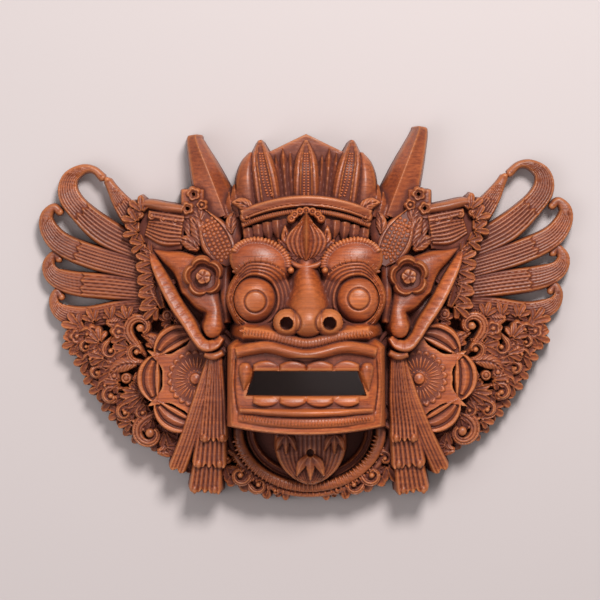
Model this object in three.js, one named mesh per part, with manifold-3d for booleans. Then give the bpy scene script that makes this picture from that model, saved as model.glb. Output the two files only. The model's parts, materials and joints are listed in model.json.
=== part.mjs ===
// A carved wooden barong mask: a horned lion-like face with a crown, ears and pierced wings, cut from
// one block. It lies on its flat back: X across the face, Y up to the crown, Z out of the carving.
// Lengths are millimetres.
import * as THREE from "three";
import { mergeVertices } from "three/addons/utils/BufferGeometryUtils.js";
import Module from "manifold-3d";

const wasm = await Module();
wasm.setup();

// Driving dimensions. A place is [u, y]: u runs outwards from the middle of the face on either side.
const wall = 13; // wood left between the hollow back and the face
const groundEdge = 8; // thickness of the backing board at its rim
const groundRise = 22; // how much thicker the board is beside the face
const boardRoot = groundEdge / 2; // height inside the board where the forms on it begin
const faceRoot = 30; // height inside the head where the forms on it begin
const overrun = 1; // how far a cut runs past the face that it opens
const wingLift = 0.045; // the right wing is carved this much steeper than the left one
const wingRoot = 95; // u where that lift starts

const head = { top: 92, chin: -98, crownHalf: 49, cheekHalf: 71, taper: 0.18, foreheadDepth: 64,
  snoutDepth: 97, snoutTop: -4, snoutBottom: -30, foreheadSquare: 2.4, snoutSquare: 5 };
const brow = { u: 36, y: 42, radiusU: 26, radiusY: 21, depth: 83 };
const eye = { u: 42.3, y: 11, radius: 17.2, height: 18.8, bulge: 13, depth: 86, lidGap: 1.2, lid: 4.5,
  iris: 9.1, irisRise: 0.8, socket: 15 };
const nose = { x: 1.5, top: 38, tip: -8, bridge: 21, bridgeDepth: 80, middle: 15, middleDepth: 90,
  width: 27, depth: 107, wing: 11.5, wingRise: 12, nostril: 5.4, nostrilDeep: 10, spread: 17 };
const mouth = { half: 43, fangHalf: 49, flare: 3, top: -47.5, bottom: -67, drop: 6, corner: 17 };
const lip = { half: 57, upper: -31, lower: -82, wave: 4, band: 10, stand: 9 };
const tooth = { count: 4, height: 9, gap: 1.2, stand: 4, fang: 22, fangWidth: 11 };
const horn = { rootU: 71, rootY: 80, rootWidth: 37, tipWidth: 12, leftTip: [94, 150],
  rightTip: [96, 157], depth: 40, ridge: -0.25, outerFall: 20, innerFall: 14, midFall: 2, tipFall: 8,
  midShare: 0.7 };
const crown = { half: 35, shoulder: 135, peak: 152, flare: 18, thick: 20, depth: 36, fin: 18,
  finDepth: 60, finTop: 143, finFoot: 29, finLean: 10, neck: 8, neckShare: 0.8, neckFall: 8,
  tipWidth: 5, tipFall: 16, finSide: 10, finFlat: 0.3 };
const crownBulge = [[45, 80, 16, 56], [49, 112, 14, 54], [47, 131, 8, 46]];
const brim = { half: 50, y: 88, rise: 10, band: 11, depth: 70, fall: 10 };
const jewel = { y: 61, half: 20, top: 81, bottom: 41, depth: 78, points: 16, middleFall: 3, rimFall: 9,
  ridgeTop: 2, ridgeFoot: 7, ridgeShort: 4, ridgeRise: 3 };
const flower = { u: 85, y: 30, radius: 17.5, petals: 5, depth: 60 };
const sun = { u: 92, y: -55, radius: 25, rays: 12, star: 47, depth: 42, dome: 6, lens: 40,
  lensWidth: 18, lensReach: 38, lensAngles: [-4, 58, -63] };
// Spine points of the forms beside the face: [u, y, width, top].
const ear = [[131, 54, 3, 34], [122, 44, 17, 42], [112, 32, 29, 49], [104, 15, 28, 54], [94, -1, 26, 58],
  [86, -16, 21, 59], [80, -27, 9, 54]];
const earLobe = [[70, 9, 10, 62], [76, -1, 12, 64], [76, -15, 13, 64]];
const scaled = [[63, 40, 8, 56], [70, 52, 26, 52], [78, 68, 26, 48], [87, 86, 5, 42]];
const block = [[95, 79, 18, 42], [95, 103, 19, 40]];
const leafPanel = [[102, 70, 34, 44], [120, 72, 40, 40], [138, 78, 30, 34]];
const pod = [[122, 42, 4, 36], [126, 22, 12, 40], [120, 4, 5, 40]];
const pleat = { count: 5, pitch: 9.5, width: 9, root: [126, 46, 40], tip: [141, 44, 33] };
const chinCurl = [[60, -128, 8, 32], [62, -142, 9, 31], [52, -150, 8, 30], [46, -142, 6, 31]];
const chinLeaf = [[46, -130, 12, 34], [38, -152, 6, 28]];
const beard = { x: 3.5, half: 29, top: -92, widest: -113, narrowing: -132, bottom: -143, depth: 56 };
const collar = { half: 60, top: -98, bottom: -146, band: 11, depth: 38 };

// Feathers of a wing, top one first: spine points [u, y, width, height over the table] out to the curled tip.
const featherThick = 9;
const feathers = [
  [[132, 66, 15, 28], [146, 80, 18, 25], [157, 94, 14, 22], [164, 105, 9, 20], [168, 112, 7, 19]],
  [[136, 52, 19, 28], [168, 67, 23, 24], [191, 86, 19, 21], [201, 100, 18, 19], [200, 113, 14, 18],
    [190, 121, 9, 17], [180, 121, 6, 17], [172, 114, 7, 17]],
  [[138, 36, 19, 27], [177, 46, 20, 23], [205, 57, 19, 20], [217, 69, 16, 18], [220, 81, 11, 17],
    [214, 89, 7, 16], [208, 85, 7, 16]],
  [[138, 19, 19, 26], [166, 22, 21, 23], [197, 25, 20, 19], [213, 31, 16, 17], [218, 41, 11, 16],
    [213, 50, 6, 15], [209, 45, 7, 15]],
  [[136, 4, 16, 26], [158, 1, 18, 23], [186, -4, 18, 19], [206, 0, 15, 17], [213, 10, 10, 16],
    [211, 18, 6, 15], [207, 13, 6, 15]],
];

// Rim of the backing board from the crown round to the beard, without the feathers and the carved edge.
const groundRim = [
  [44, 118], [58, 104], [100, 98], [104, 84], [134, 88], [150, 62], [160, 30], [158, 2], [196, -16],
  [196, -34], [184, -60], [164, -88], [140, -110], [104, -119], [70, -134], [36, -148], [0, -151],
];

// Scrolls of the leaf carving: [u, y, radius, first angle in degrees, sense of turn, tail length].
const scrolls = [
  [139, -13, 12, 300, 1, 26], [142, -42, 9, 300, 1, 18], [134, -98, 12, 60, -1, 24],
  [164, -66, 9, 100, -1, 16], [176, -30, 10, 120, -1, 16],
];
const scrollTop = { root: 36, from: 110, fall: 0.16 };
const lobes = { count: 8, width: 19, root: 13, reach: 9, rootRise: 16, tipRise: 8 };

// Ribbon tassels beside the jaw: tiers from the shortest to the longest, then the strip that swings out,
// each [top u, foot u, foot y, foot width].
const tassel = { y: -34, topWidth: 9, depth: 60, footDepth: 50, tierDrop: 6, swing: 5,
  tiers: [[75, 77, -106, 22], [77, 80, -127, 29], [78, 84, -148, 24]],
  outer: [79, 110, -132, 13], outerDepth: 50, outerFoot: 36 };

// Turns a three.js geometry into a solid whose faces point out.
function solid(geometry) {
  const bare = geometry.clone();
  bare.deleteAttribute("normal");
  bare.deleteAttribute("uv");
  const merged = mergeVertices(bare, 1e-3);
  const places = merged.attributes.position.array;
  const corners = Uint32Array.from(merged.index.array);
  const at = (i) => new THREE.Vector3().fromArray(places, 3 * i);
  let volume = 0;
  for (let i = 0; i < corners.length; i += 3)
    volume += at(corners[i]).dot(at(corners[i + 1]).cross(at(corners[i + 2])));
  if (volume < 0)
    for (let i = 0; i < corners.length; i += 3)
      [corners[i + 1], corners[i + 2]] = [corners[i + 2], corners[i + 1]];
  return new wasm.Manifold(
    new wasm.Mesh({ numProp: 3, vertProperties: Float32Array.from(places), triVerts: corners }),
  );
}

// A closed skin through rings of equal length, each end closed by a fan about its own hub.
function loft(rings, hubs) {
  const count = rings[0].length;
  const places = rings.flat(2).concat(hubs[0], hubs[1]);
  const faces = [];
  const firstHub = rings.length * count;
  for (let k = 0; k < count; k++) {
    const next = (k + 1) % count;
    for (let r = 0; r + 1 < rings.length; r++) {
      const [a, b, c, d] = [r * count + k, r * count + next, (r + 1) * count + k, (r + 1) * count + next];
      faces.push(a, b, d, a, d, c);
    }
    const last = (rings.length - 1) * count;
    faces.push(firstHub, next, k, firstHub + 1, last + k, last + next);
  }
  const geometry = new THREE.BufferGeometry();
  geometry.setAttribute("position", new THREE.Float32BufferAttribute(places, 3));
  geometry.setIndex(faces);
  return solid(geometry);
}

// A carved strip along a spine of [x, y, width, top] points. Its section is [share of half width, drop].
function strip(spine, { bottom, section, steps }) {
  const line = new THREE.CatmullRomCurve3(spine.map(([x, y, , top]) => new THREE.Vector3(x, y, top)));
  const widths = new THREE.CatmullRomCurve3(spine.map(([, , width]) => new THREE.Vector3(width, 0, 0)));
  const rings = [];
  const hubs = [];
  for (let i = 0; i <= steps; i++) {
    const t = i / steps;
    const p = line.getPoint(t);
    const along = line.getTangent(t).setZ(0).normalize();
    const half = widths.getPoint(t).x / 2;
    const put = (share, z) => [p.x - along.y * half * share, p.y + along.x * half * share, z];
    const top = section.map(([share, drop]) => put(share, p.z - drop));
    rings.push([...top, put(section.at(-1)[0], bottom), put(section[0][0], bottom)]);
    if (i === 0 || i === steps) hubs.push(put(0, bottom));
  }
  return loft(rings, hubs);
}

// A round carving about [x, y]: its rim follows radius(angle), and levels are [share of the radius, height].
function rosette([x, y], { radius, levels, bottom, points, turn = 0 }) {
  const ring = (share, z) =>
    Array.from({ length: points }, (_, k) => {
      const angle = turn + (2 * Math.PI * k) / points;
      const r = share * radius(angle - turn);
      return [x + r * Math.cos(angle), y + r * Math.sin(angle), z];
    });
  const rings = levels.slice(1).map(([share, z]) => ring(share, z));
  rings.push(ring(levels.at(-1)[0], bottom));
  return loft(rings, [[x, y, levels[0][1]], [x, y, bottom]]);
}

// A lump of wood: an ellipsoid with its own half sizes.
function lump([x, y, z], [a, b, c], around = 10, down = 6) {
  const ball = new THREE.SphereGeometry(1, around, down).rotateX(Math.PI / 2);
  return solid(ball.scale(a, b, c).translate(x, y, z));
}

const round = [[-1, 4], [-0.55, 0], [0.55, 0], [1, 4]];
const ridge = [[-1, 5], [0, 0], [1, 5]];
const roof = [[-1, 3], [0, 0], [1, 3]];
const gouge = [[-1, 0], [0, 4], [1, 0]];
const earFold = [[-1, 4], [-0.8, 0], [-0.35, 9], [0.15, 0], [1, 4]];
const mirrored = (section) => section.map(([share, drop]) => [-share, drop]).reverse();
const ribs = (count, deep) =>
  Array.from({ length: 2 * count + 1 }, (_, k) => [(k - count) / count, k % 2 ? 0 : deep]);
const joined = (parts) => parts.reduce((whole, part) => whole.add(part));

// Puts [u, y] on the left (-1) or right (1) side, with the lift of the right wing.
function onSide(side, [u, y, ...rest]) {
  const lift = side > 0 ? wingLift * Math.max(0, u - wingRoot) : 0;
  return [side * u, y + lift, ...rest];
}

// The backing board: thick beside the face, thin at its rim, and flat behind.
function makeGround() {
  const rim = [
    ...groundRim.map((p) => onSide(1, p)),
    ...groundRim.slice(0, -1).reverse().map((p) => onSide(-1, p)),
  ];
  const ring = (share, z) => rim.map(([x, y]) => [x * share, y * share, z]);
  return loft([ring(1, 0), ring(1, groundEdge), ring(0.55, groundEdge + groundRise)],
    [[0, 0, 0], [0, 0, groundEdge + groundRise]]);
}

// Outline of the head at a height y, set in by some margin: half width and depth of that slice.
function headSlice(y, margin) {
  const down = THREE.MathUtils.smoothstep(-y, -head.top, 20);
  const snout = THREE.MathUtils.smoothstep(-y, -head.snoutTop, -head.snoutBottom);
  const half = THREE.MathUtils.lerp(head.crownHalf, head.cheekHalf, down) - margin;
  const depth = THREE.MathUtils.lerp(head.foreheadDepth, head.snoutDepth, snout) - margin;
  return { half, depth, square: THREE.MathUtils.lerp(head.foreheadSquare, head.snoutSquare, snout) };
}

function makeHead(margin) {
  const rows = [head.top, 70, 45, 15, head.snoutTop, -16, head.snoutBottom, -66, head.chin];
  const arc = 10;
  const rings = rows.map((row, i) => {
    const y = i === 0 ? row - margin : i === rows.length - 1 ? row + margin : row;
    const { half, depth, square } = headSlice(row, margin);
    return Array.from({ length: arc + 1 }, (_, k) => {
      const angle = (Math.PI * k) / arc;
      const bulge = (v) => Math.sign(v) * Math.abs(v) ** (2 / square);
      const rise = k === 0 || k === arc ? 0 : bulge(Math.sin(angle));
      const x = half * bulge(Math.cos(angle)) * (1 - head.taper * rise);
      return [x, y, depth * rise - (margin ? overrun : 0)];
    });
  });
  return loft(rings, [[0, rings[0][0][1], 0], [0, rings.at(-1)[0][1], 0]]);
}

// Brow dome, socket, raised ring of the lids, eyeball and iris of one eye.
function makeEye(side) {
  const x = side * eye.u;
  const lidU = eye.radius + eye.lidGap + eye.lid / 2;
  const lidY = eye.height + eye.lidGap + eye.lid / 2;
  const lidTop = eye.depth - eye.bulge + 1;
  return joined([
    lump([side * brow.u, brow.y, brow.depth - brow.radiusU],
      [brow.radiusU, brow.radiusY, brow.radiusU], 10, 5),
    lump([x, eye.y, lidTop - eye.socket], [lidU + eye.lid / 2, lidY + eye.lid / 2, eye.socket], 10, 5),
    hoop([x, eye.y], [lidU, lidY], { width: eye.lid, top: lidTop, points: 10 }),
    lump([x, eye.y, eye.depth - eye.bulge], [eye.radius, eye.height, eye.bulge], 12, 5),
    rosette([x, eye.y], { radius: () => eye.iris, bottom: eye.depth - eye.bulge, points: 10,
      levels: [[0, eye.depth + eye.irisRise], [1, eye.depth - eye.irisRise]] }),
  ]);
}

// An oval hoop with a ridged top, half sizes [a, b] to the middle of its band.
function hoop([x, y], [a, b], { width, top, points }) {
  const rings = Array.from({ length: points }, (_, k) => {
    const angle = (2 * Math.PI * k) / points;
    const at = (grow, z) => [x + (a + grow) * Math.cos(angle), y + (b + grow) * Math.sin(angle), z];
    return [at(-width / 2, top - 2 * width), at(0, top), at(width / 2, top - 2 * width)];
  });
  const faces = rings.flatMap((_, r) => {
    const s = (r + 1) % points;
    return [0, 1, 2].flatMap((k) => {
      const n = (k + 1) % 3;
      return [3 * r + k, 3 * r + n, 3 * s + n, 3 * r + k, 3 * s + n, 3 * s + k];
    });
  });
  const geometry = new THREE.BufferGeometry();
  geometry.setAttribute("position", new THREE.Float32BufferAttribute(rings.flat(2), 3));
  geometry.setIndex(faces);
  return solid(geometry);
}

function makeNose() {
  const bridge = strip(
    [[0, nose.top, nose.bridge, nose.bridgeDepth], [nose.x, nose.middle, nose.bridge + 3, nose.middleDepth],
      [nose.x, nose.tip + 6, nose.width, nose.depth], [nose.x, nose.tip - 9, nose.width, nose.depth - 4]],
    { bottom: faceRoot, section: [[-1, 14], [-0.6, 2], [0, 0], [0.6, 2], [1, 14]], steps: 5 },
  );
  const wings = [-1, 1].map((side) =>
    lump([nose.x + side * nose.spread, nose.tip, nose.depth - nose.wingRise - 2],
      [nose.wing, nose.wing, nose.wingRise], 10, 5));
  return joined([bridge, ...wings]);
}

function nostrils() {
  return joined([-1, 1].map((side) =>
    solid(new THREE.CylinderGeometry(nose.nostril, nose.nostril, 2 * nose.nostrilDeep, 8)
      .rotateX(Math.PI / 2).translate(nose.x + side * nose.spread, nose.tip, nose.depth))));
}

// Wavy lips over and under the mouth, and the rows of teeth between them.
function makeLips() {
  const wavy = (y, sign) =>
    [-1, -0.5, 0, 0.5, 1].map((s, k) => [s * lip.half, y + sign * (k % 2 ? lip.wave : 0), lip.band,
      head.snoutDepth + lip.stand - (Math.abs(s) === 1 ? 7 : 0)]);
  const upper = strip(wavy(lip.upper, 1), { bottom: faceRoot, section: round, steps: 8 });
  const lower = strip(wavy(lip.lower, -0.5), { bottom: faceRoot, section: round, steps: 8 });
  return joined([upper, lower]);
}

function makeTeeth() {
  const pitch = (2 * mouth.half) / tooth.count;
  const row = Array.from({ length: tooth.count }, (_, k) => (k + 0.5) * pitch - mouth.half);
  const toothAt = (x, y) => strip(
    [-1, 1].map((end) => [x, y + (end * tooth.height) / 2, pitch - tooth.gap, head.snoutDepth + tooth.stand]),
    { bottom: head.snoutDepth - wall, section: round, steps: 1 });
  const fangs = [-1, 1].map((side) =>
    strip([[side * mouth.fangHalf, mouth.top + tooth.fang / 3, tooth.fangWidth, head.snoutDepth + 4],
      [side * mouth.fangHalf, mouth.top - 4, tooth.fangWidth, head.snoutDepth + 4],
      [side * (mouth.fangHalf + 1), mouth.top - tooth.fang * 0.72, 2, head.snoutDepth]],
    { bottom: head.snoutDepth - wall, section: ridge, steps: 3 }));
  return joined([
    ...row.map((x) => toothAt(x, mouth.top + tooth.height / 2)),
    ...row.map((x) => toothAt(x, mouth.bottom - tooth.height / 2)),
    ...fangs,
  ]);
}

function mouthCut() {
  const outline = new THREE.Shape();
  outline.moveTo(-mouth.half, mouth.top).lineTo(mouth.half, mouth.top);
  outline.lineTo(mouth.fangHalf + mouth.flare, mouth.top - mouth.corner);
  outline.lineTo(mouth.fangHalf, mouth.bottom - mouth.drop / 2);
  outline.lineTo(mouth.half, mouth.bottom).lineTo(-mouth.half, mouth.bottom);
  outline.lineTo(-mouth.fangHalf, mouth.bottom - mouth.drop / 2);
  outline.lineTo(-mouth.fangHalf - mouth.flare, mouth.top - mouth.corner);
  const depth = head.snoutDepth + lip.stand;
  return solid(new THREE.ExtrudeGeometry(outline, { depth, bevelEnabled: false }).translate(0, 0, wall));
}

// Crown: a peaked plate, three studded fins, a bulge beside them and the brim over the brow.
function makeCrown() {
  const outline = new THREE.Shape();
  const foot = brim.y - 8;
  outline.moveTo(-crown.half - crown.flare, foot);
  outline.lineTo(-crown.half - crown.flare + 4, crown.shoulder - 8).lineTo(-crown.half, crown.shoulder);
  outline.lineTo(0, crown.peak).lineTo(crown.half, crown.shoulder);
  outline.lineTo(crown.half + crown.flare - 4, crown.shoulder - 8).lineTo(crown.half + crown.flare, foot);
  const plate = new THREE.ExtrudeGeometry(outline, { depth: crown.depth, bevelEnabled: false });
  const finSection = [[-1, crown.finSide], [-crown.finFlat, 0], [crown.finFlat, 0], [1, crown.finSide]];
  const fins = [-1, 0, 1].map((side) => {
    const [low, high] = [side * crown.finFoot, side * (crown.finFoot + crown.finLean)];
    return strip([[low, foot, crown.fin, crown.finDepth],
      [(low + high) / 2, (brim.y + crown.finTop) / 2, crown.fin, crown.finDepth],
      [high, crown.finTop - crown.neck, crown.fin * crown.neckShare, crown.finDepth - crown.neckFall],
      [high, crown.finTop, crown.tipWidth, crown.finDepth - crown.tipFall]],
    { bottom: crown.thick, section: finSection, steps: 3 });
  });
  const bulges = [-1, 1].map((side) =>
    strip(crownBulge.map(([u, ...rest]) => [side * u, ...rest]),
      { bottom: crown.thick, section: round, steps: 3 }));
  const arc = [-1, -0.5, 0, 0.5, 1].map((s) => [s * brim.half, brim.y - brim.rise * s * s, brim.band,
    brim.depth - brim.fall * s * s]);
  return joined([
    solid(plate),
    ...fins,
    ...bulges,
    strip(arc, { bottom: faceRoot, section: round, steps: 6 }),
  ]);
}

function makeJewel() {
  const reach = (angle) => {
    const up = Math.sin(angle) > 0 ? jewel.top - jewel.y : jewel.y - jewel.bottom;
    return 1 / (Math.abs(Math.cos(angle)) / jewel.half + Math.abs(Math.sin(angle)) / up) + 2;
  };
  const boss = rosette([0, jewel.y], { radius: reach, bottom: faceRoot, points: jewel.points,
    levels: [[0, jewel.depth], [0.55, jewel.depth - jewel.middleFall], [1, jewel.depth - jewel.rimFall]] });
  return boss.add(strip([[0, jewel.top, jewel.ridgeTop, jewel.depth - jewel.middleFall],
    [0, jewel.bottom + jewel.ridgeShort, jewel.ridgeFoot, jewel.depth + jewel.ridgeRise]],
  { bottom: faceRoot, section: ridge, steps: 1 }));
}

// Horn, ear, ear lobe, flower earring, carved block and scaled panel of one side.
function makeSideOfHead(side) {
  const tip = side < 0 ? horn.leftTip : horn.rightTip;
  const mid = [(horn.rootU + tip[0]) / 2, (horn.rootY + tip[1]) / 2];
  const hornSpine = [[horn.rootU, horn.rootY, horn.rootWidth, horn.depth],
    [mid[0], mid[1], horn.rootWidth * horn.midShare, horn.depth - horn.midFall],
    [tip[0], tip[1], horn.tipWidth, horn.depth - horn.tipFall]];
  const hornSection = [[-1, horn.outerFall], [horn.ridge, 0], [1, horn.innerFall]];
  const petal = (angle) => flower.radius * (0.86 + 0.14 * Math.abs(Math.sin((flower.petals * angle) / 2)));
  const place = (spine) => spine.map((p) => onSide(side, p));
  return joined([
    strip(place(hornSpine), { bottom: boardRoot, section: hornSection, steps: 3 }),
    strip(place(ear), { bottom: boardRoot, section: side < 0 ? earFold : mirrored(earFold), steps: 7 }),
    strip(place(earLobe), { bottom: boardRoot, section: round, steps: 2 }),
    rosette(onSide(side, [flower.u, flower.y]), { radius: petal, bottom: boardRoot, points: 15,
      levels: [[0, flower.depth + 3], [0.45, flower.depth - 6], [0.85, flower.depth],
        [1, flower.depth - 4]] }),
    strip(place(scaled), { bottom: boardRoot, section: round, steps: 4 }),
    strip(place(block), { bottom: boardRoot, section: round, steps: 1 }),
  ]);
}

// Pierced wing: the feathers touch at their roots only, and each curls over towards the one above.
function makeFeathers(side) {
  return joined(feathers.map((spine) => {
    const lowest = Math.min(...spine.map(([, , , top]) => top)) - featherThick;
    const steps = Math.round(1.35 * (spine.length - 1));
    return strip(spine.map((p) => onSide(side, p)), { bottom: lowest, section: roof, steps });
  }));
}

// The leaf panel over the ear tip and the column of ribbed lobes behind the ear.
function makeLeafPanel(side) {
  const place = (spine) => spine.map((p) => onSide(side, p));
  const panel = strip(place(leafPanel), { bottom: boardRoot, section: ribs(2, 4), steps: 2 });
  const pleats = Array.from({ length: pleat.count }, (_, k) => {
    const ends = [pleat.root, pleat.tip].map(([u, y, top], end) =>
      [u - end * k, y - pleat.pitch * k, pleat.width, top]);
    return strip(place(ends), { bottom: boardRoot, section: ridge, steps: 1 });
  });
  const podLeaf = strip(place(pod), { bottom: boardRoot, section: gouge, steps: 3 });
  return joined([panel, ...pleats, podLeaf]);
}

// The rayed disc on a star, with a lens-shaped panel in each gap of the star that shows.
function makeSun(side) {
  const centre = onSide(side, [sun.u, sun.y]);
  const scallop = (angle) => sun.radius * (0.92 + 0.08 * Math.abs(Math.sin(angle * 7)));
  const spoke = (angle) => sun.star * (0.7 + 0.3 * Math.abs(Math.cos(3 * angle)));
  const lens = sun.lensAngles.map((degrees) => {
    const spine = [-1, 0, 1].map((s) => {
      const turn = (degrees * Math.PI) / 180 + (s * sun.lens) / 2 / sun.lensReach;
      const [u, y] = [sun.u + sun.lensReach * Math.cos(turn), sun.y + sun.lensReach * Math.sin(turn)];
      return onSide(side, [u, y, s === 0 ? sun.lensWidth : 3, sun.depth]);
    });
    return strip(spine, { bottom: boardRoot, section: gouge, steps: 2 });
  });
  return joined([
    rosette(centre, { radius: spoke, bottom: boardRoot, points: 12, turn: Math.PI / 6,
      levels: [[0, sun.depth - 2], [1, sun.depth - 3]] }),
    ...lens,
    rosette(centre, { radius: scallop, bottom: boardRoot, points: 2 * sun.rays,
      levels: [[0, sun.depth + sun.dome], [0.32, sun.depth - 1], [1, sun.depth + 1]] }),
  ]);
}

function makeTassels(side) {
  const swing = side > 0 ? tassel.swing : 0;
  const tiers = tassel.tiers.map(([topU, footU, footY, width], k) => {
    const top = tassel.depth - (tassel.tierDrop - 1) * k;
    return strip([[side * topU, tassel.y, tassel.topWidth, top],
      [side * (topU + (footU + swing - topU) * 0.4), (tassel.y + footY) / 2, (tassel.topWidth + width) / 2,
        top - 5],
      [side * (footU + swing), footY, width, tassel.footDepth - tassel.tierDrop * k]],
    { bottom: boardRoot, section: ribs(2, 3), steps: 2 });
  });
  const [topU, footU, footY, width] = tassel.outer;
  const outer = strip([[side * topU, tassel.y, tassel.topWidth, tassel.depth - 8],
    [side * (topU + (footU - topU) * 0.45), (tassel.y + footY) / 2, width, tassel.outerDepth],
    [side * (footU + swing), footY, width, tassel.outerFoot]],
  { bottom: boardRoot, section: ribs(1, 3), steps: 3 });
  return joined([...tiers, outer]);
}

// Scrolls and edge lobes of the leaf carving that fills the lower wing.
function makeLeafwork(side) {
  const curls = scrolls.map(([u, y, radius, first, sense, tail]) => {
    const start = (first * Math.PI) / 180;
    const top = scrollTop.root - (u - scrollTop.from) * scrollTop.fall;
    const spine = Array.from({ length: 6 }, (_, k) => {
      const angle = start + (sense * k * 260 * Math.PI) / 180 / 5;
      const r = radius * (1 - 0.13 * k);
      return [u + r * Math.cos(angle), y + r * Math.sin(angle), radius * (0.75 - 0.09 * k), top];
    });
    const tangent = start - (sense * Math.PI) / 2;
    const [headU, headY] = spine[0];
    spine.unshift([headU + tail * Math.cos(tangent), headY + tail * Math.sin(tangent), 3, top]);
    return strip(spine.map((p) => onSide(side, p)), { bottom: boardRoot, section: ridge, steps: 5 });
  });
  const rim = new THREE.CatmullRomCurve3(
    groundRim.slice(8, 14).map(([u, y]) => new THREE.Vector3(u, y, 0)));
  const edge = Array.from({ length: lobes.count }, (_, k) => {
    const t = (k + 0.5) / lobes.count;
    const p = rim.getPoint(t);
    const along = rim.getTangent(t);
    const at = (reach, width, top) => [p.x - along.y * reach, p.y + along.x * reach, width, top];
    const spine = [at(-lobes.root, lobes.width, groundEdge + lobes.rootRise),
      at(lobes.reach, lobes.width / 2, groundEdge + lobes.tipRise)];
    return strip(spine.map((q) => onSide(side, q)), { bottom: boardRoot, section: ridge, steps: 1 });
  });
  return joined([...curls, ...edge]);
}

// The beard tongue, the collar that hangs behind it and the leaf curls at its ends.
function makeBeard() {
  const tongue = strip([[beard.x, beard.top, 2 * beard.half - 4, beard.depth + 4],
    [beard.x, beard.widest, 2 * beard.half, beard.depth],
    [beard.x, beard.narrowing, beard.half * 1.3, beard.depth - 5],
    [beard.x, beard.bottom, 10, beard.depth - 10]],
  { bottom: boardRoot, section: ribs(3, 3), steps: 4 });
  const arc = Array.from({ length: 9 }, (_, k) => {
    const angle = Math.PI * (1 + k / 8);
    return [collar.half * Math.cos(angle), collar.top + (collar.top - collar.bottom) * Math.sin(angle),
      collar.band, collar.depth];
  });
  const curls = [-1, 1].flatMap((side) => {
    const place = (spine) => spine.map(([u, ...rest]) => [side * u, ...rest]);
    return [
      strip(place(chinCurl), { bottom: boardRoot, section: ridge, steps: 4 }),
      strip(place(chinLeaf), { bottom: boardRoot, section: ridge, steps: 1 }),
    ];
  });
  return joined([tongue, strip(arc, { bottom: boardRoot, section: gouge, steps: 8 }), ...curls]);
}

const carved = joined([
  makeGround(),
  makeHead(0),
  makeNose(),
  makeLips(),
  makeCrown(),
  makeJewel(),
  makeBeard(),
  ...[-1, 1].flatMap((side) => [
    makeEye(side),
    makeSideOfHead(side),
    makeFeathers(side),
    makeLeafPanel(side),
    makeSun(side),
    makeTassels(side),
    makeLeafwork(side),
  ]),
])
  .subtract(mouthCut())
  .subtract(makeHead(wall))
  .subtract(nostrils())
  .add(makeTeeth());

// The finished block as a three.js mesh, centred on its own footprint.
function toMesh(name, manifold, material) {
  const { vertProperties, triVerts } = manifold.getMesh();
  const geometry = new THREE.BufferGeometry();
  geometry.setAttribute("position", new THREE.BufferAttribute(vertProperties, 3));
  geometry.setIndex(new THREE.BufferAttribute(triVerts, 1));
  geometry.computeBoundingBox();
  geometry.computeVertexNormals();
  const middle = geometry.boundingBox.getCenter(new THREE.Vector3());
  const mesh = new THREE.Mesh(geometry, material);
  mesh.name = name;
  mesh.position.set(-middle.x, -middle.y, -geometry.boundingBox.min.z);
  return mesh;
}

const wood = new THREE.MeshStandardMaterial({ color: 0x8a4526, roughness: 0.42, metalness: 0 });
const mask = new THREE.Group();
mask.add(toMesh("barong_mask", carved, wood));

export default mask;
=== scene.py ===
import json
import math

import bpy
import numpy as np
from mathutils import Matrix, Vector
from mathutils.geometry import delaunay_2d_cdt

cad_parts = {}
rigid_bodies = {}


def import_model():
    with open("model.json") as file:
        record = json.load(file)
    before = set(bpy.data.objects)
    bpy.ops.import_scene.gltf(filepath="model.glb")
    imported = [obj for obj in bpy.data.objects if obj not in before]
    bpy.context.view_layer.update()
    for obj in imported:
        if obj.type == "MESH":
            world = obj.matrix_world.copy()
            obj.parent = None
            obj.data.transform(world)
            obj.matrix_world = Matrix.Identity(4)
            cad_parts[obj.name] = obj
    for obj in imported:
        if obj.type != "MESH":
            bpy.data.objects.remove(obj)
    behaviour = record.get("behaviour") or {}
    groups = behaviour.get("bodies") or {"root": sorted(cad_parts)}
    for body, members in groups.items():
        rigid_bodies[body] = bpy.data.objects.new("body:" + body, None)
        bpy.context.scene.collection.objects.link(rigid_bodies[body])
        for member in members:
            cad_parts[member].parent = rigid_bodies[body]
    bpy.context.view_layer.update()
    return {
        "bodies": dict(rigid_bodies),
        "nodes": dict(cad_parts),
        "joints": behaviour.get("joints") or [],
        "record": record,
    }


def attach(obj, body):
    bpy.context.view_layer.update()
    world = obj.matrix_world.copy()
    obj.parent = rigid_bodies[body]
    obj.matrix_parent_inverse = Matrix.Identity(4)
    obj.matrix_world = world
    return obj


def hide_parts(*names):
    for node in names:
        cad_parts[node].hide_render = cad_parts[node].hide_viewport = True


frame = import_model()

# The carved looks of a wooden barong mask that lies on its back. Each form is worked out in millimetres as
# heights over a ruled board, X across the face and Y up to the crown, and becomes a closed mesh in metres.
# A place is [u, y], where u runs outwards from the middle of the face on either side, and a spine point is
# [u, y, width, top].
NODE = "barong_mask"
CENTRE = (-0.006, -2.935)  # from the middle of the face to the middle of the footprint
CELL = 0.65  # spacing of the ruled lines
WALL = 14.0  # fall of a cut side, per millimetre
LOW = -60.0  # height where nothing is carved
ROOT = 4.0  # height inside the board where the forms on it begin
XS = np.arange(-236, 236, CELL)
YS = np.arange(-166, 172, CELL)

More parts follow.
